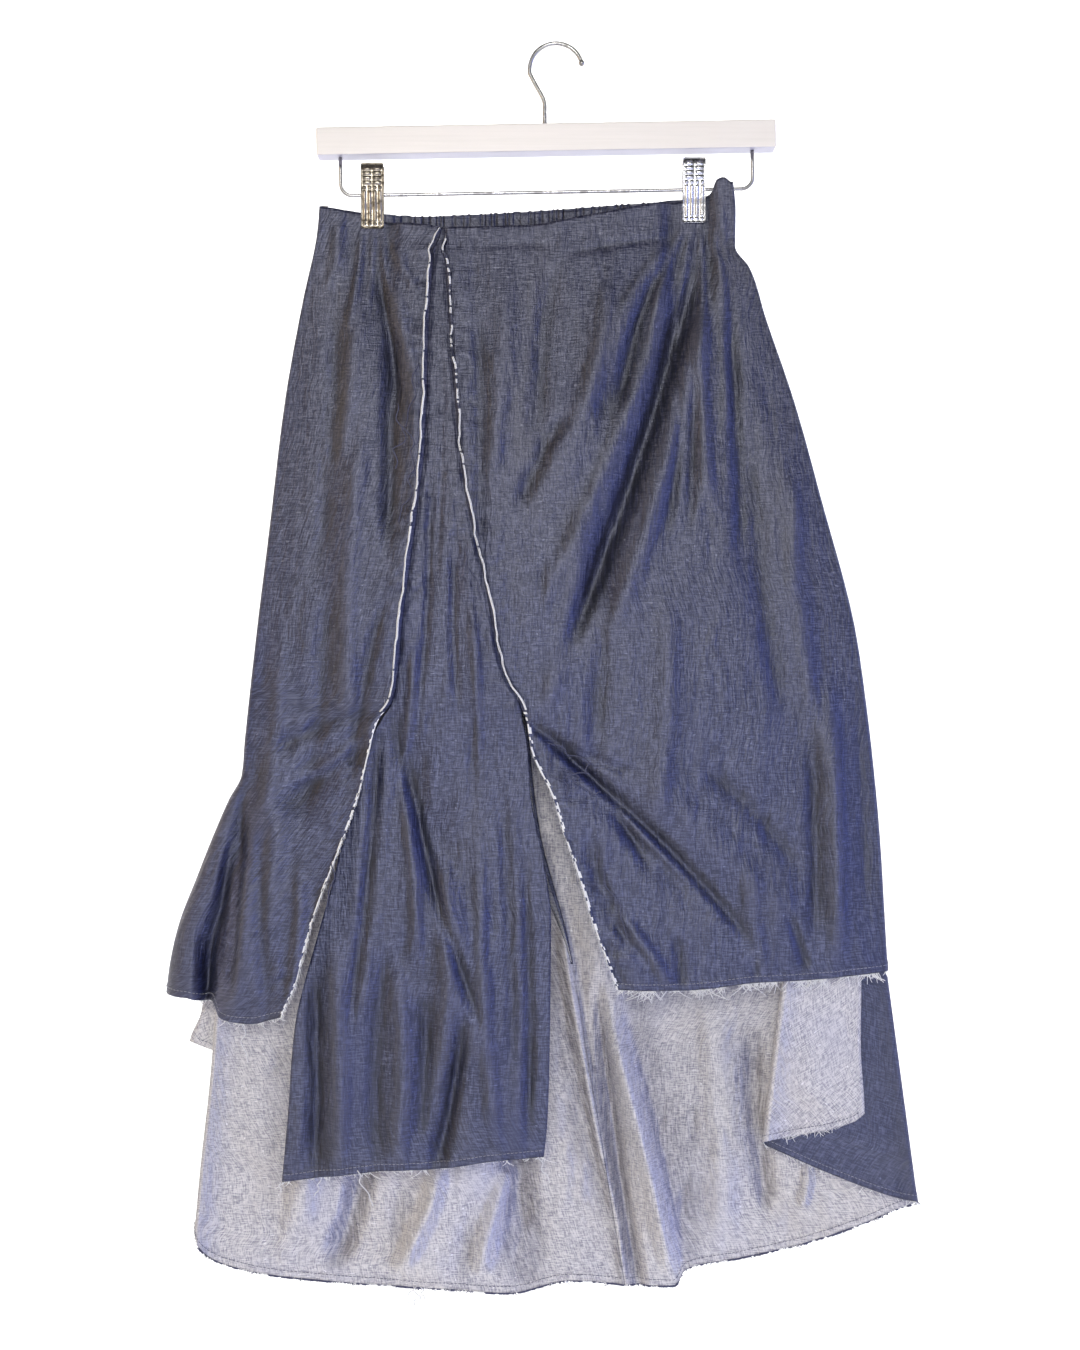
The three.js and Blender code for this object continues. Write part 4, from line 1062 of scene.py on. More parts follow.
LEFT_CRINKLES = joined(
    crinkles(21, 260, (-290, -95), (135, 745), (14, 60), (0.15, 0.6)),
    puckers(24, "left", -1, 90),
    puckers(27, "left", -1, 50, 520, 750),
)
RIGHT_CRINKLES = joined(
    crinkles(22, 480, (-80, 255), (130, 725), (14, 62), (0.15, 0.6)),
    puckers(25, "right", 1, 70),
    puckers(28, "right", 1, 40, 520, 725),
)
CENTRE_CRINKLES = joined(
    crinkles(23, 240, (-205, -12), (170, 870), (18, 75), (0.2, 0.7), 0.07),
    puckers(26, "centre_left", 1, 50),
    puckers(29, "centre_right", -1, 50),
)
left_surface = side_panel(LEFT_SIDE, "left", LEFT_HEM, LEFT_FOLDS, LEFT_CREASES, LEFT_CRINKLES)
right_surface = side_panel(RIGHT_SIDE, "right", RIGHT_HEM, RIGHT_FOLDS, RIGHT_CREASES, RIGHT_CRINKLES)
front_down = spaced((0, 0.022, 6), (0.022, 0.982, 226), (0.982, 1, 7))

turned = FRONT_RUN + SIDE_TURN
across = spaced((0, 0.013, 2), (0.013, 0.03, 1), (0.03, FRONT_RUN, 58), (FRONT_RUN, turned, 16),
                (turned, 1, 5))
front_left = shell("front_left", left_surface, across, front_down, -1, ("head", "foot"),
                   bright=below_slit(left_surface, across, front_down, 2, 0.35, 31))
across = spaced((0, 0.0075, 2), (0.0075, 0.0115, 1), (0.0115, FRONT_RUN, 128), (FRONT_RUN, turned, 16),
                (turned, 1, 6))
front_right = shell("front_right", right_surface, across, front_down, 1, ("head", "foot"),
                    bright=below_slit(right_surface, across, front_down, 2, 0.4, 32))
across = spaced((0, 1, 96))
centre_down = spaced((0, 0.988, 260), (0.988, 1, 7))
front_centre = shell("front_centre", centre_surface, across, centre_down, 1, ("head", "foot"))
for piece, node in ((front_left, "skirt_front_left"), (front_right, "skirt_front_right"),
                    (front_centre, "skirt_front_centre")):
    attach(piece, "root")
    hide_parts(node)


# Seam allowances
# Both front seams are sewn with their raw allowances outwards, so two layers of cloth
# stand up along each seam, waver from side to side, and end in a bare frayed edge.

ALLOWANCE = 5.2
SHOWN_WAVES = {"lengths": (23, 13, 8, 5.5), "swings": (0.4, 0.4, 0.4, 0.3)}


def wander(drop, seed, lengths=(83, 37, 17, 9), swings=(0.55, 0.35, 0.16, 0.07)):
    """A seeded sum of slow and quick sines along the drop, for edges that waver."""
    rng = np.random.default_rng(seed)
    return sum(swing * np.sin(2 * np.pi * (drop / length + rng.random()))
               for length, swing in zip(lengths, swings))


def allowance(edge, top_drop, lean_x, layer, seed):
    """One layer of a seam allowance: from the seam it rises 5.2 mm outwards at the
    ridge's lean, which wavers along the seam, and the layers part towards their edges. At
    the waist, 161 mm down, both seams swing 1.8 mm left."""

    def surface(share, down):
        share, down = np.broadcast_arrays(share, down)
        drop = mix(top_drop, SLIT_DROP, down)
        base = read(FRONT_EDGES, edge, drop) - 1.8 * np.exp(-((drop - 161) / 4.5) ** 2)
        aside = lean_x + 0.32 * wander(drop, seed)
        long = np.hypot(aside, 0.75)
        rise = ALLOWANCE * share * (1 + 0.10 * wander(drop, seed + 1)) * step(-0.01, 0.02, down)
        part = layer * (0.3 + share**1.5 * (0.1 + 0.15 * wander(drop, seed + 2 + layer)))
        x = base + aside / long * rise + 0.75 / long * part
        y = layer_y("front", base, drop) + 0.6 - 0.75 / long * rise + aside / long * part
        return in_metres(x, y, drop)

    return surface


def shown(surface, across, down, level, seed):
    """Marks where an allowance shows bare thread: its outermost strip, and the next one
    too where a seeded wave along the seam is above the level."""
    a, d = np.meshgrid((across[1:] + across[:-1]) / 2, (down[1:] + down[:-1]) / 2, indexing="ij")
    drop = -surface(a, d)[..., 2]
    quick = wander(drop, seed, **SHOWN_WAVES)
    lifted = (quick > level(drop)) & (np.random.default_rng(seed).random(drop.shape[1]) > 0.05)
    return ((a > 0.88) & lifted) | ((a > 0.78) & (wander(drop, seed + 5) > 0.25) & lifted)


ridge_across = np.array([0, 0.25, 0.52, 0.78, 0.88, 1])
ridge_down = spaced((0, 1, 240))
ridges = {}
lengthwise = np.linspace(0.02, 0.995, 900)
for name, edge, top_drop, lean_x, seed, level in (
    ("seam_left", "left", 143.5, -0.65, 41, lambda drop: np.full_like(drop, -2.0)),
    ("seam_right", "right", 147, 0.3, 51, lambda drop: -0.15 - 2.0 * step(285, 320, drop)),
):
    layers = []
    for layer in (-1, 1):
        surface = allowance(edge, top_drop, lean_x, layer, seed)
        bright = shown(surface, ridge_across, ridge_down, level, seed + 9)
        part = "inner" if layer < 0 else "outer"
        piece = shell(f"{name}_{part}", surface, ridge_across, ridge_down, 0, thick=0.5, bright=bright)
        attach(piece, "root")
        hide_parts(name)
        layers.append(piece)
    between = allowance(edge, top_drop, lean_x, 0, seed)
    points, _ = seam_line(between, np.full_like(lengthwise, 0.97), lengthwise, 0, 0.9)
    kept = wander(-points[:, 2], seed + 9, **SHOWN_WAVES) > level(-points[:, 2])
    outward = np.array([lean_x * 0.4, -0.5, -0.1])
    fray = whiskers(name + "_fray", seed, points[kept], outward, (0.6, 1.9), 0.22, raw_edge, 0.9, 1.2,
                    (0, 0.25, 1.0))
    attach(fray, "root")
    rng = np.random.default_rng(seed + 3)
    points, _ = seam_line(between, np.full_like(lengthwise, 0.35), lengthwise, 0, 3.4)
    points = points + rng.normal(0, 1.0, points.shape) * np.array([0.6, 0, 1])
    outward = np.array([lean_x * 1.4, -0.12, -0.3])
    navy = whiskers(name + "_navy_fray", seed + 3, points, outward, (1.2, 4.6), 0.5, navy_thread, 0.8, 1.6,
                    (0, 0, 1.0))
    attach(navy, "root")
    ridges[name] = [*layers, fray, navy]


# Hem stitching
# The hems are turned up once and sewn 5 mm above the fold, in grey thread that shows
# light on the dark face and in navy thread that shows dark on the pale side.

HEM_PITCH = 3.1


def hem_row(name, surface, first, height, off, thread):
    """A row of stitches at a height above a hem: the share of the way down that lies the
    height above the edge, followed from the first share across to 0.99."""
    across = np.linspace(first, 0.99, 400)
    edge, above = surface(across, np.ones_like(across)), surface(across, np.full_like(across, 0.99))
    down = 1 - height * 0.01 / np.linalg.norm(edge - above, axis=1)
    points, normals = seam_line(surface, across, down, off, HEM_PITCH)
    row = stitches(name, points, normals * np.sign(off), 2.3, 0.5, thread)
    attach(row, "root")
    return row


back_left_surface, back_right_surface = back_halves["back_left"][1], back_halves["back_right"][1]
hem_rows = {}
for panel, ending, surface, first, height, off, thread in (
    ("front_left", "hem", left_surface, 0.01, 5.2, -0.72, grey_thread),
    ("front_right", "hem", right_surface, 0.01, 5.0, 0.72, grey_thread),
    ("front_centre", "hem", centre_surface, 0.01, 5.4, 0.72, grey_thread),
    ("back_left", "hem_inside", back_left_surface, 0.005, 5.0, -0.72, navy_thread),
    ("back_left", "hem_outside", back_left_surface, 0.005, 5.0, 0.72, grey_thread),
    ("back_right", "hem_inside", back_right_surface, 0.005, 5.0, 0.72, navy_thread),
    ("back_right", "hem_outside", back_right_surface, 0.005, 5.0, -0.72, grey_thread),
):
    row = hem_row(f"{panel}_{ending}", surface, first, height, off, thread)
    hem_rows.setdefault(panel, []).append(row)


# Frayed edges
# Pale weft ends hang out of the hems, most of all under the right front panel, and a
# short fuzz of them stands along the raw slit edges. Under the long back the dark face
# rolls a little into sight, with navy warp ends.


def hem_fray(name, seed, surface, end, count, length, thick, thread):
    """Threads at seeded places from a hem's start to the share where it ends, bunched
    where a slow wave is high."""
    rng = np.random.default_rng(seed)
    share = rng.uniform(0.0, end, count * 3)
    bunched = np.sin(share * 37 + seed) + np.sin(share * 83) + rng.normal(0, 0.8, share.size)
    share = share[bunched > 0.2][:count]
    points = surface(share, np.ones_like(share))
    return whiskers(name, seed, points, np.array([0, 0, -1.0]), length, thick, thread, 0.45, 0.7)


def hem_rim(name, seed, surface, end):
    """The dark face's own edge, rolled a little into sight under the pale side: a thin
    cord along the hem that swells and shrinks with seeded waves."""
    share = np.linspace(0.0, end, 420)
    points = surface(share, np.ones_like(share)) + np.array([0, 0.1, -0.75])
    swell = wander(share * 300, seed, (47, 19, 8, 3), (0.5, 0.4, 0.4, 0.3))
    return strands(name, points[None], 0.2 + 0.95 * step(-0.4, 0.5, swell), [navy_thread], 5)


frays = {}
for panel, ending, seed, surface, end, count, length, thick, thread in (
    ("front_right", "fray", 61, right_surface, 0.84, 190, (2.5, 8.0), 0.95, raw_edge),
    ("front_right", "fuzz", 62, right_surface, 0.95, 420, (0.5, 2.2), 0.5, raw_edge),
    ("front_left", "fray", 63, left_surface, 0.9, 30, (1.5, 5.0), 0.8, raw_edge),
    ("front_left", "fuzz", 64, left_surface, 0.95, 180, (0.4, 1.4), 0.4, raw_edge),
    ("front_centre", "fray", 65, centre_surface, 1.0, 50, (1.5, 5.0), 0.85, raw_edge),
    ("front_centre", "fuzz", 66, centre_surface, 1.0, 200, (0.4, 1.5), 0.4, raw_edge),
    ("back_left", "fray", 67, back_left_surface, 0.98, 110, (1.5, 5), 0.8, raw_edge),
    ("back_left", "fuzz", 68, back_left_surface, 0.98, 420, (0.4, 1.6), 0.4, raw_edge),
    ("back_left", "navy", 73, back_left_surface, 0.66, 450, (0.6, 2.1), 0.9, navy_thread),
    ("back_right", "fray", 69, back_right_surface, 0.98, 110, (1.5, 5), 0.8, raw_edge),
    ("back_right", "fuzz", 70, back_right_surface, 0.98, 420, (0.4, 1.6), 0.4, raw_edge),
    ("back_right", "navy", 74, back_right_surface, 0.55, 400, (0.6, 2.1), 0.9, navy_thread),
):
    fray = hem_fray(f"{panel}_{ending}", seed, surface, end, count, length, thick, thread)
    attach(fray, "root")
    frays.setdefault(panel, []).append(fray)
for panel, seed, surface, end in (("back_left", 75, back_left_surface, 0.63),
                                  ("back_right", 76, back_right_surface, 0.52)):
    rim = hem_rim(panel + "_rim", seed, surface, end)
    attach(rim, "root")
    frays[panel].append(rim)
for panel, surface, seed, out in (("front_left", left_surface, 71, 0.7),
                                  ("front_right", right_surface, 72, -0.7)):
    rng = np.random.default_rng(seed)
    down = rng.uniform(0.655, 1, 620)
    points = surface(np.full_like(down, 0.001), down)
    points = points[-points[:, 2] > SLIT_DROP - 2]
    fray = whiskers(panel + "_slit_fray", seed, points, np.array([out, -0.35, -0.2]), (0.4, 2.0), 0.4,
                    raw_edge, 0.6, 1.2, (0, 0, 1.0))
    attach(fray, "root")
    frays[panel].append(fray)


# Loose threads
# A few long ends that have worked out of the seams and hems and hang or lie curled.

LOOSE = table("x1 drop1 x2 drop2 sway pale", [
    (-242, 759, -237, 790, 3.0, 1),
    (-153, 872, -141, 899, 2.5, 1),
    (-180, 877, -185, 890, 1.5, 1),
    (-212, 880, -211, 887, 1.0, 1),
    (-14, 861, -5, 880, 2.0, 1),
    (-110, 975, -112, 994, 4.0, 1),
    (-107, 976, -104, 986, 2.0, 1),
    (-113, 976, -117, 989, 2.5, 1),
    (-122, 282, -108, 335, 6.0, 0),
    (-118, 300, -124, 334, 5.0, 0),
    (-106, 250, -116, 300, 3.5, 0),
    (-108, 330, -121, 372, 4.0, 0),
    (-70, 395, -58, 432, 3.0, 0),
    (3, 562, 34, 584, 8.0, 0),
    (8, 572, 28, 560, 7.0, 0),
    (-6, 556, 12, 590, 5.0, 0),
    (-14, 540, 30, 560, 4.0, 0),
    (36, 640, 54, 690, 4.0, 0),
    (-168, 620, -176, 668, 3.0, 0),
])


def loose_threads(name, pale, thread):
    """Paths from one point to another that sway aside by a sine and a half of seeded
    phase, 2.6 mm in front of the front's own depth, or behind the back's hem."""
    rng = np.random.default_rng(81 + pale)
    t = np.linspace(0, 1, 26)
    paths = []
    for x1, drop1, x2, drop2, sway, colour in zip(*LOOSE.values()):
        if colour != pale:
            continue
        phase = rng.uniform(0, 2 * np.pi, 2)
        aside = sway * np.sin(t * 3 * np.pi + phase[0]) * np.sin(np.pi * np.minimum(t * 1.2, 1))
        x = mix(x1, x2, t) + aside
        drop = mix(drop1, drop2, t) + 0.5 * sway * np.sin(t * 4 * np.pi + phase[1]) * t
        recess = read(CENTRE_RECESS, "y", drop) if -165 < x1 < -10 and drop1 > SLIT_DROP else 0
        depth = 24.0 if drop1 > 960 else layer_y("front", x, drop) + recess - 2.6
        paths.append(in_metres(x, depth + 0.6 * np.sin(t * 5 + phase[0]), drop))
    threads = strands(name, np.array(paths), 0.45, [thread], 5)
    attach(threads, "root")
    return threads


loose = [loose_threads("loose_pale_threads", 1, pale_thread),
         loose_threads("loose_navy_threads", 0, navy_thread)]


# Centre back allowance
# The two back halves are sewn together on the inside. Their allowances are pressed to
# one side there and bound with a close overlock stitch in pale thread.


def overlock_strip(share, down):
    """A strip from the centre back seam to 7 mm left of it, 1 mm inside the back, which
    narrows to nothing where it runs under the folds below."""
    narrowed = 1 - 0.92 * step(0.61, 0.69, down)
    surface = back_left_surface(share * 0.026 * narrowed + 0.0005, down)
    return surface + np.array([0, -1.1, 0]) - np.array([0, 0.6, 0]) * np.sin(np.pi * share)[..., None]


strip = shell("centre_back_allowance", overlock_strip, spaced((0, 1, 5)), spaced((0, 0.69, 200)), 0,
              thick=0.9)
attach(strip, "root")
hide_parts("skirt_back_left")
length = np.linspace(0.002, 0.688, 1600)
outer_points, _ = seam_line(overlock_strip, np.full_like(length, 0.95), length, 0, 1.15)
inner_points, _ = seam_line(overlock_strip, np.full_like(length, 0.35), length, 0, 1.15)
count = min(len(outer_points), len(inner_points))
t = np.linspace(0, 1, 5)[None, :, None]
bars = mix(outer_points[:count, None], inner_points[:count, None], t)
bars = bars + np.array([0, -0.75, 0]) - np.array([0, 0.25, 0]) * np.sin(np.pi * t)
binding = strands("centre_back_overlock", bars, 0.24, [pale_thread], 4)
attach(binding, "root")


# Cut sizes
# What each cloth piece above measured before it was hung: the rectangle that it was cut
# from, its own area, what carries it and what is sewn to it or frays from it.

for piece, flat, area, held, carriers, sewn in (
    (front_left, (0.20, 0.65), 0.083, "hung", ["clip_left_front"],
     hem_rows["front_left"] + frays["front_left"] + ridges["seam_left"]),
    (front_right, (0.37, 0.63), 0.17, "hung", ["clip_right_front"],
     hem_rows["front_right"] + frays["front_right"] + ridges["seam_right"]),
    (front_centre, (0.22, 0.75), 0.082, "hung", ["front_left", "front_right"],
     hem_rows["front_centre"] + frays["front_centre"] + loose),
    (back_halves["back_left"][0], (0.54, 0.86), 0.225, "hung", ["clip_left_back", "waist_casing"],
     hem_rows["back_left"] + frays["back_left"] + [strip, binding]),
    (back_halves["back_right"][0], (0.46, 0.85), 0.24, "hung", ["clip_right_back", "waist_casing"],
     hem_rows["back_right"] + frays["back_right"]),
    (waist_casing, (0.42, 0.0285), 0.0118, "gathered", ["clip_left_back", "clip_right_back"], []),
):
    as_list(carriers)
    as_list(sewn)


# Hanger
# A painted wooden bar with a wire hook through it and a bent wire rod under it. The bar
# and the rod hang about a degree askew, with the right end higher.

TILT = math.radians(1.01)
BAR_CENTRE = np.array([-7.8, 0, -73.7])
WIRE_RADIUS = 1.75
CROWN_RADIUS = 20.7
CROWN_END = 15
KNOB_RADIUS = 2.5
ROD_BELOW = 40.7
ROD_HALF = 160.6
ROD_BEND = 9
SHANK_X = -8.9
SHANK = table("drop x", [(22.14, -20.5), (25.5, -18.6), (31.5, -15.5), (39, -11.2), (42.5, -9.6),
                         (46, SHANK_X), (64, SHANK_X)])
COLLAR = table("drop radius", [(62.2, 3.1), (62.0, 3.1), (61.5, 2.9), (61.2, 2.3), (61.15, 1.6)])


def tilted(points):
    """Turns points about the bar's centre by the hanger's tilt and puts them there."""
    x, y, z = np.moveaxis(np.asarray(points, float), -1, 0)
    cos, sin = math.cos(TILT), math.sin(TILT)
    return np.stack([x * cos - z * sin, y, x * sin + z * cos], -1) + BAR_CENTRE


def satin_paint():
    """Ivory paint over sanded wood: faint grain and brush marks under a satin coat. The
    underside is painted a darker blue-grey as shade."""
    paint = Paint("satin_paint")
    place = paint.place("object")
    grain = paint.noise(paint.stretched(place, 12, 260, 420), 1, 3, 0.55)
    tone = paint.noise(place, 26, 2, 0.5)
    colour = paint.blend(grain.between(0.3, 0.75), (0.88, 0.82, 0.74), (0.84, 0.785, 0.705))
    colour = paint.blend(tone.between(0.4, 0.75) * 0.4, colour, (0.90, 0.85, 0.78))
    # Painted shade: faces turned downwards are blended towards a dark blue-grey.
    normal = paint.node("ShaderNodeTexCoord", output="Normal")
    upward = paint.node("ShaderNodeSeparateXYZ", None, {0: normal}, 2)
    colour = paint.blend((0 - upward).between(0.75, 0.95) * 0.9, colour, (0.40, 0.39, 0.50))
    pits = paint.noise(place, 700, 2, 0.5)
    normal = paint.bump(grain * 0.6 + pits * 0.4, 0.00025, 0.35)
    return paint.finish(Base_Color=colour, Roughness=tone * 0.15 + 0.33, Normal=normal,
                        Coat_Weight=0.25, Coat_Roughness=0.2)


def plated(name, bright, dull, roughness, wear):
    """Plated steel: fine draw marks in the bump and a worn, cloudy roughness."""
    paint = Paint(name)
    place = paint.place("object")
    cloud = paint.noise(place, 180, 3, 0.6)
    marks = paint.noise(paint.stretched(place, 2400, 900, 500), 1, 2, 0.5)
    worn = cloud.between(0.45, 0.7) * wear
    colour = paint.blend(worn, bright, dull)
    normal = paint.bump(marks, 0.00005, 0.3)
    rough = worn * 0.25 + marks * 0.06 + roughness
    return paint.finish(Base_Color=colour, Metallic=1.0, Roughness=rough, Normal=normal)


def rounded_block(name, size, radius, place, material):
    """A block with rounded edges: a cube's edges bevelled in four steps, then placed."""
    made = bmesh.new()
    bmesh.ops.create_cube(made, size=1)
    bmesh.ops.scale(made, vec=[value * MM for value in size], verts=made.verts)
    bmesh.ops.bevel(made, geom=made.edges[:], offset=radius * MM, segments=4, profile=0.5, affect="EDGES")
    mesh = bpy.data.meshes.new(name)
    made.to_mesh(mesh)
    made.free()
    points = np.empty(len(mesh.vertices) * 3)
    mesh.vertices.foreach_get("co", points)
    mesh.vertices.foreach_set("co", (place(points.reshape(-1, 3) / MM) * MM).ravel())
    mesh.polygons.foreach_set("use_smooth", np.ones(len(mesh.polygons), bool))
    mesh.materials.append(material)
    piece = bpy.data.objects.new(name, mesh)
    bpy.context.scene.collection.objects.link(piece)
    flat = piece.modifiers.new("edges", "WEIGHTED_NORMAL")
    flat.keep_sharp = True
    return piece


def arc(centre, radius, start, end, count):
    """Points on an arc in the hanger's plane, angles in degrees from +X upwards."""
    angle = np.radians(np.linspace(start, end, count))
    return np.stack([centre[0] + radius * np.cos(angle), 0 * angle, centre[1] + radius * np.sin(angle)], 1)


ivory_paint = satin_paint()
hook_wire = plated("hook_wire", (0.44, 0.43, 0.42), (0.22, 0.21, 0.20), 0.2, 0.8)
hanger_bar = rounded_block("hanger_bar_painted", (357, 18, 21.7), 1.4, tilted, ivory_paint)
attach(hanger_bar, "root")
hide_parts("hanger_bar")

crown = arc((0, WIRE_RADIUS - CROWN_RADIUS), CROWN_RADIUS, CROWN_END, 188, 60)
drop = np.linspace(23.5, 63, 40)
shank = np.stack([read(SHANK, "x", drop), 0 * drop, -drop], 1)
hook_path = np.concatenate([crown, shank])
hook = strands("hook", hook_path[None], WIRE_RADIUS, [hook_wire], 20)
knob_angle = np.linspace(0, np.pi, 14)
knob_way = np.array([math.sin(math.radians(CROWN_END)), 0, -math.cos(math.radians(CROWN_END))])
knob_path = crown[0] - KNOB_RADIUS * np.cos(knob_angle)[:, None] * knob_way
knob = strands("hook_knob", knob_path[None], KNOB_RADIUS * np.sin(knob_angle) + 0.02, [hook_wire], 20)
collar_path = np.array([(SHANK_X, 0, -drop) for drop in COLLAR["drop"]])
collar = strands("hook_collar", collar_path[None], COLLAR["radius"], [hook_wire], 20)
bend_x, bend_z = ROD_HALF - ROD_BEND, ROD_BEND - ROD_BELOW
rod_path = tilted(np.concatenate([
    [(-ROD_HALF, 0, -9.5), (-ROD_HALF, 0, -20)], arc((-bend_x, bend_z), ROD_BEND, 180, 270, 14),
    [(x, 0, -ROD_BELOW) for x in (-100, 0, 100)],
    arc((bend_x, bend_z), ROD_BEND, 270, 360, 14), [(ROD_HALF, 0, -20), (ROD_HALF, 0, -9.5)],
]))
rod = strands("rod", rod_path[None], 1.5, [hook_wire], 16)
for piece, node in ((hook, "hanger_hook"), (knob, "hanger_hook"), (collar, "hanger_hook"),
                    (rod, "hanger_rod")):
    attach(piece, "root")
    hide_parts(node)


# Clips
# Two spring clips of pressed, nickel-plated sheet. Each jaw has eight grip pads over a
# row of dimples, four ribs, four teeth over its lip, and two ears that hold it on the rod.

JAW_LOW, JAW_HIGH = -26.5, 24
JAW = table("z y", [(JAW_LOW, 3.1), (-25, 1.7), (-14, 1.7), (-7, 2.9), (4, 4.2), (18, 5), (21, 4.6),
                    (JAW_HIGH, 3.4)])
JAW_HALF = 8.75
JAW_CORNER = 1.5
PAD_ROWS = (19.1, 15.6, 12.1, 8.5)
RIB_COLUMNS = (-6.1, -2.05, 2.05, 6.1)
EAR = (0.8, 6.6, 9)


def bell(distance, width):
    """A rounded bump with a flat top: exp(-(distance / width)^4)."""
    return np.exp(-(distance / width) ** 4)


def jaw_relief(x, z):
    """Height of what is pressed out of a jaw: pads in four rows and two columns, dimples,
    ribs, teeth and a rolled edge all round."""
    pads = sum(bell(z - row, 1.25) for row in PAD_ROWS)
    pads = pads * (bell(x - 3.9, 2.9) + bell(x + 3.9, 2.9)) * 0.9
    columns = sum(bell(x - centre, 1.0) for centre in RIB_COLUMNS)
    dimples = bell(z - 4.7, 1.0) * columns * 0.8
    ribs = columns * step(-21.6, -20.4, z) * (1 - step(1.6, 2.8, z)) * 0.85
    teeth = columns * bell(z + 23, 0.9) * 0.9
    rolled = 0.6 * step(-JAW_HALF + 0.9, -JAW_HALF, -abs(x)) + 0.5 * step(22.6, 24, z)
    return pads + dimples + ribs + teeth + rolled


def jaw(name, clip_x, rod_z, facing, ear_x, metal):
    """A jaw as a pressed plate: the profile's depth carried across, plus the relief, with
    its corners rounded; facing is -1 for the front jaw and 1 for the back one. An ear
    stands ear_x from the middle on either side."""
    down = spaced((JAW_LOW, JAW_HIGH, 100))
    across = np.linspace(-1, 1, 40)
    share, z = np.meshgrid(across, down, indexing="ij")
    into_corner = np.maximum(np.maximum(JAW_LOW + JAW_CORNER - z, z - (JAW_HIGH - JAW_CORNER)), 0)
    x = share * (JAW_HALF - (JAW_CORNER - np.sqrt(np.maximum(JAW_CORNER**2 - into_corner**2, 0))))
    depth = read(JAW, "y", z)
    relief = jaw_relief(share * JAW_HALF, z)
    outer = np.stack([x, depth + 1.0 + relief, z], -1)
    inner = np.stack([x, depth + 0.2 * relief, z], -1)
    points = np.stack([outer, inner]) * np.array([1, facing, 1]) + np.array([clip_x, 0, rod_z])
    faces = shell_faces(len(across) - 1, len(down) - 1)
    if facing < 0:
        faces = faces[:, ::-1]
    pieces = [solid_piece(name, points * MM, faces, [metal])]
    for side, offset in (("a", -ear_x), ("b", ear_x)):
        spot = np.array([clip_x + offset, facing * 1.2, rod_z])
        pieces.append(rounded_block(f"{name}_ear_{side}", EAR, 0.35, lambda block: block + spot, metal))
    return pieces


# Both clips are the same plated steel: the left one's dark brown colours are a painted dark reflection, the
# right one's pale colours a painted bright reflection.
clip_finishes = {
    "left": plated("clip_metal_dark_painted_reflection", (0.360, 0.320, 0.260), (0.085, 0.068, 0.048), 0.26, 1.0),
    "right": plated("clip_metal_bright_painted_reflection", (0.66, 0.66, 0.68), (0.30, 0.29, 0.28), 0.2, 0.6),
}
for side, clip_x in CLIPS_X.items():
    rod_z = BAR_CENTRE[2] + math.sin(TILT) * (clip_x - BAR_CENTRE[0]) - math.cos(TILT) * ROD_BELOW
    for end, facing, ear_x in (("front", -1, 8), ("back", 1, 6.8)):
        for piece in jaw(f"clip_{side}_{end}_pressed", clip_x, rod_z, facing, ear_x, clip_finishes[side]):
            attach(piece, "root")
            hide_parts(f"clip_{side}_{end}")


# Studio
# A pale floor and wall with two lights of their own, a soft light from the front, faint
# warm ones on the left, cool ones on the right and below, one above the back, and the
# camera where the photograph's was.

CAMERA_AWAY = 1.4
VIEW_WIDTH = 1.053

camera_data = bpy.data.cameras.new("camera")
camera_data.sensor_width = 36
camera_data.lens = camera_data.sensor_width * CAMERA_AWAY / VIEW_WIDTH
camera = bpy.data.objects.new("camera", camera_data)
camera.location = (-0.0125, -CAMERA_AWAY, -0.4909)
camera.rotation_euler = (math.radians(90), 0, 0)
bpy.context.scene.collection.objects.link(camera)
bpy.context.scene.camera = camera
bpy.context.scene.view_settings.view_transform = "Standard"


def sweep():
    """A backdrop: a floor that turns up into a wall through a quarter circle, behind
    where a camera stands that looks at the skirt's back."""
    run = np.linspace(0, 1, 60)
    near, far, bend, height = -4.0, 2.4, 1.0, 4.5
    turn = np.clip((run - 0.4) / 0.2, 0, 1) * math.pi / 2
    y = np.where(run < 0.4, mix(near, far, run / 0.4), far + bend * np.sin(turn))
    z = np.where(run > 0.6, bend + mix(0, height, (run - 0.6) / 0.4), bend * (1 - np.cos(turn))) - 1.25
    x = np.linspace(-4, 4, 9)
    points = np.stack(np.broadcast_arrays(x[:, None], y[None], z[None]), -1)
    index = np.arange(points.size // 3).reshape(points.shape[:2])
    faces = np.stack([index[:-1, :-1], index[1:, :-1], index[1:, 1:], index[:-1, 1:]], -1).reshape(-1, 4)
    paint = Paint("studio_paper")
    fibres = paint.noise(paint.place("object"), 40, 3, 0.6)
    colour = paint.blend(fibres, (0.90, 0.90, 0.90), (0.93, 0.93, 0.93))
    paper = paint.finish(Base_Color=colour, Roughness=0.95)
    return solid_piece("studio_sweep", points, faces, [paper])


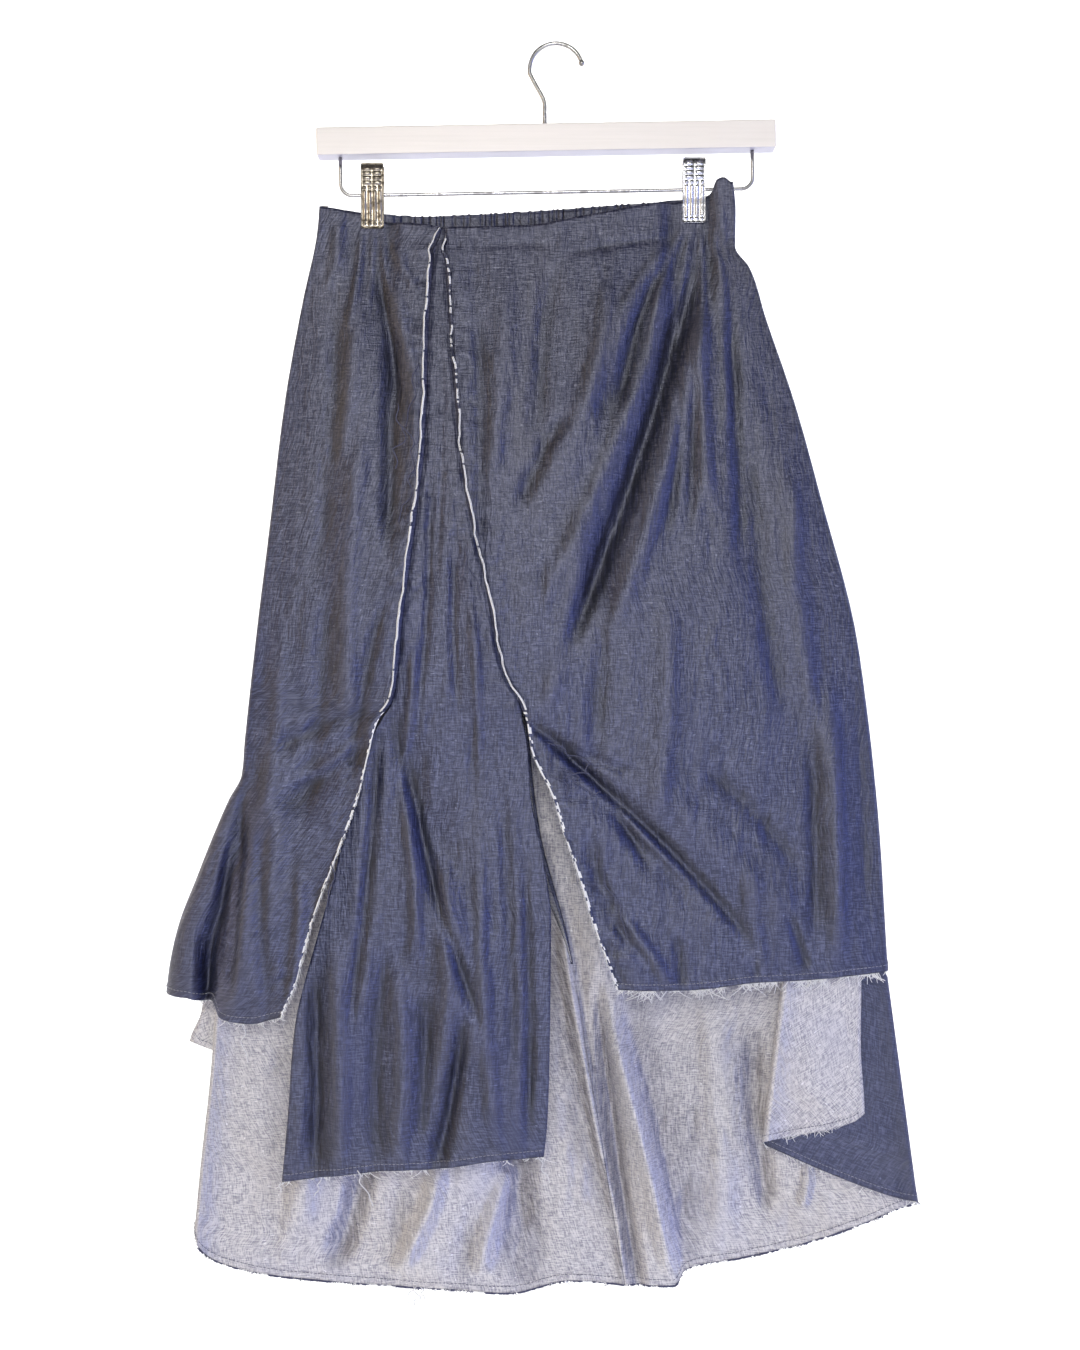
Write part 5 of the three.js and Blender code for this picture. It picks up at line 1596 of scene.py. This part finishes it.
def softbox(name, place, target, size, power, colour):
    """A rectangular area light that faces its target."""
    data = bpy.data.lights.new(name, "AREA")
    data.shape, data.size, data.size_y = "RECTANGLE", *size
    data.energy, data.color = power, colour
    light = bpy.data.objects.new(name, data)
    light.location = place
    light.rotation_euler = (Vector(target) - Vector(place)).to_track_quat("-Z", "Y").to_euler()
    bpy.context.scene.collection.objects.link(light)


sweep()
middle = (0, 0, -0.5)
softbox("key", (-0.15, -2.6, 0.15), middle, (0.7, 0.7), 32, (1.0, 0.985, 0.95))
softbox("warm_left", (-2.0, -0.5, -0.1), middle, (0.6, 1.6), 7, (1.0, 0.72, 0.38))
softbox("cool_right", (2.0, -0.5, -0.4), middle, (0.6, 1.6), 11, (0.26, 0.34, 1.0))
softbox("cool_low", (0.2, -1.4, -1.15), (0, 0, -0.7), (1.2, 0.4), 4, (0.3, 0.4, 1.0))
softbox("backdrop_left", (-2.2, 2.0, 1.7), (-0.5, 3.4, -0.4), (1.5, 1.5), 100, (1, 1, 1))
softbox("backdrop_right", (2.2, 2.0, 1.7), (0.5, 3.4, -0.4), (1.5, 1.5), 100, (1, 1, 1))
softbox("above_back", (0, 1.9, 2.3), (0, 0.9, -1.2), (1.6, 1.6), 45, (1, 1, 1))
softbox("back_left", (-2.0, 1.4, 0.0), middle, (0.6, 1.2), 7, (1.0, 0.86, 0.66))
softbox("back_right", (2.0, 1.4, -0.2), middle, (0.6, 1.2), 7, (0.55, 0.65, 1.0))

# The room: pale grey round the horizon, so that a view from the side or from behind has a
# background too, and dark overhead.
world = bpy.data.worlds.new("studio")
world.use_nodes = True
room = world.node_tree
direction = room.nodes.new("ShaderNodeTexCoord")
parts = room.nodes.new("ShaderNodeSeparateXYZ")
band = room.nodes.new("ShaderNodeMapRange")
for socket, value in (("From Min", 0.3), ("From Max", 0.6), ("To Min", 0.45), ("To Max", 0.03)):
    band.inputs[socket].default_value = value
room.links.new(direction.outputs["Generated"], parts.inputs[0])
room.links.new(parts.outputs["Z"], band.inputs["Value"])
room.links.new(band.outputs[0], room.nodes["Background"].inputs["Strength"])
room.nodes["Background"].inputs["Color"].default_value = (0.94, 0.95, 1.0, 1)
bpy.context.scene.world = world
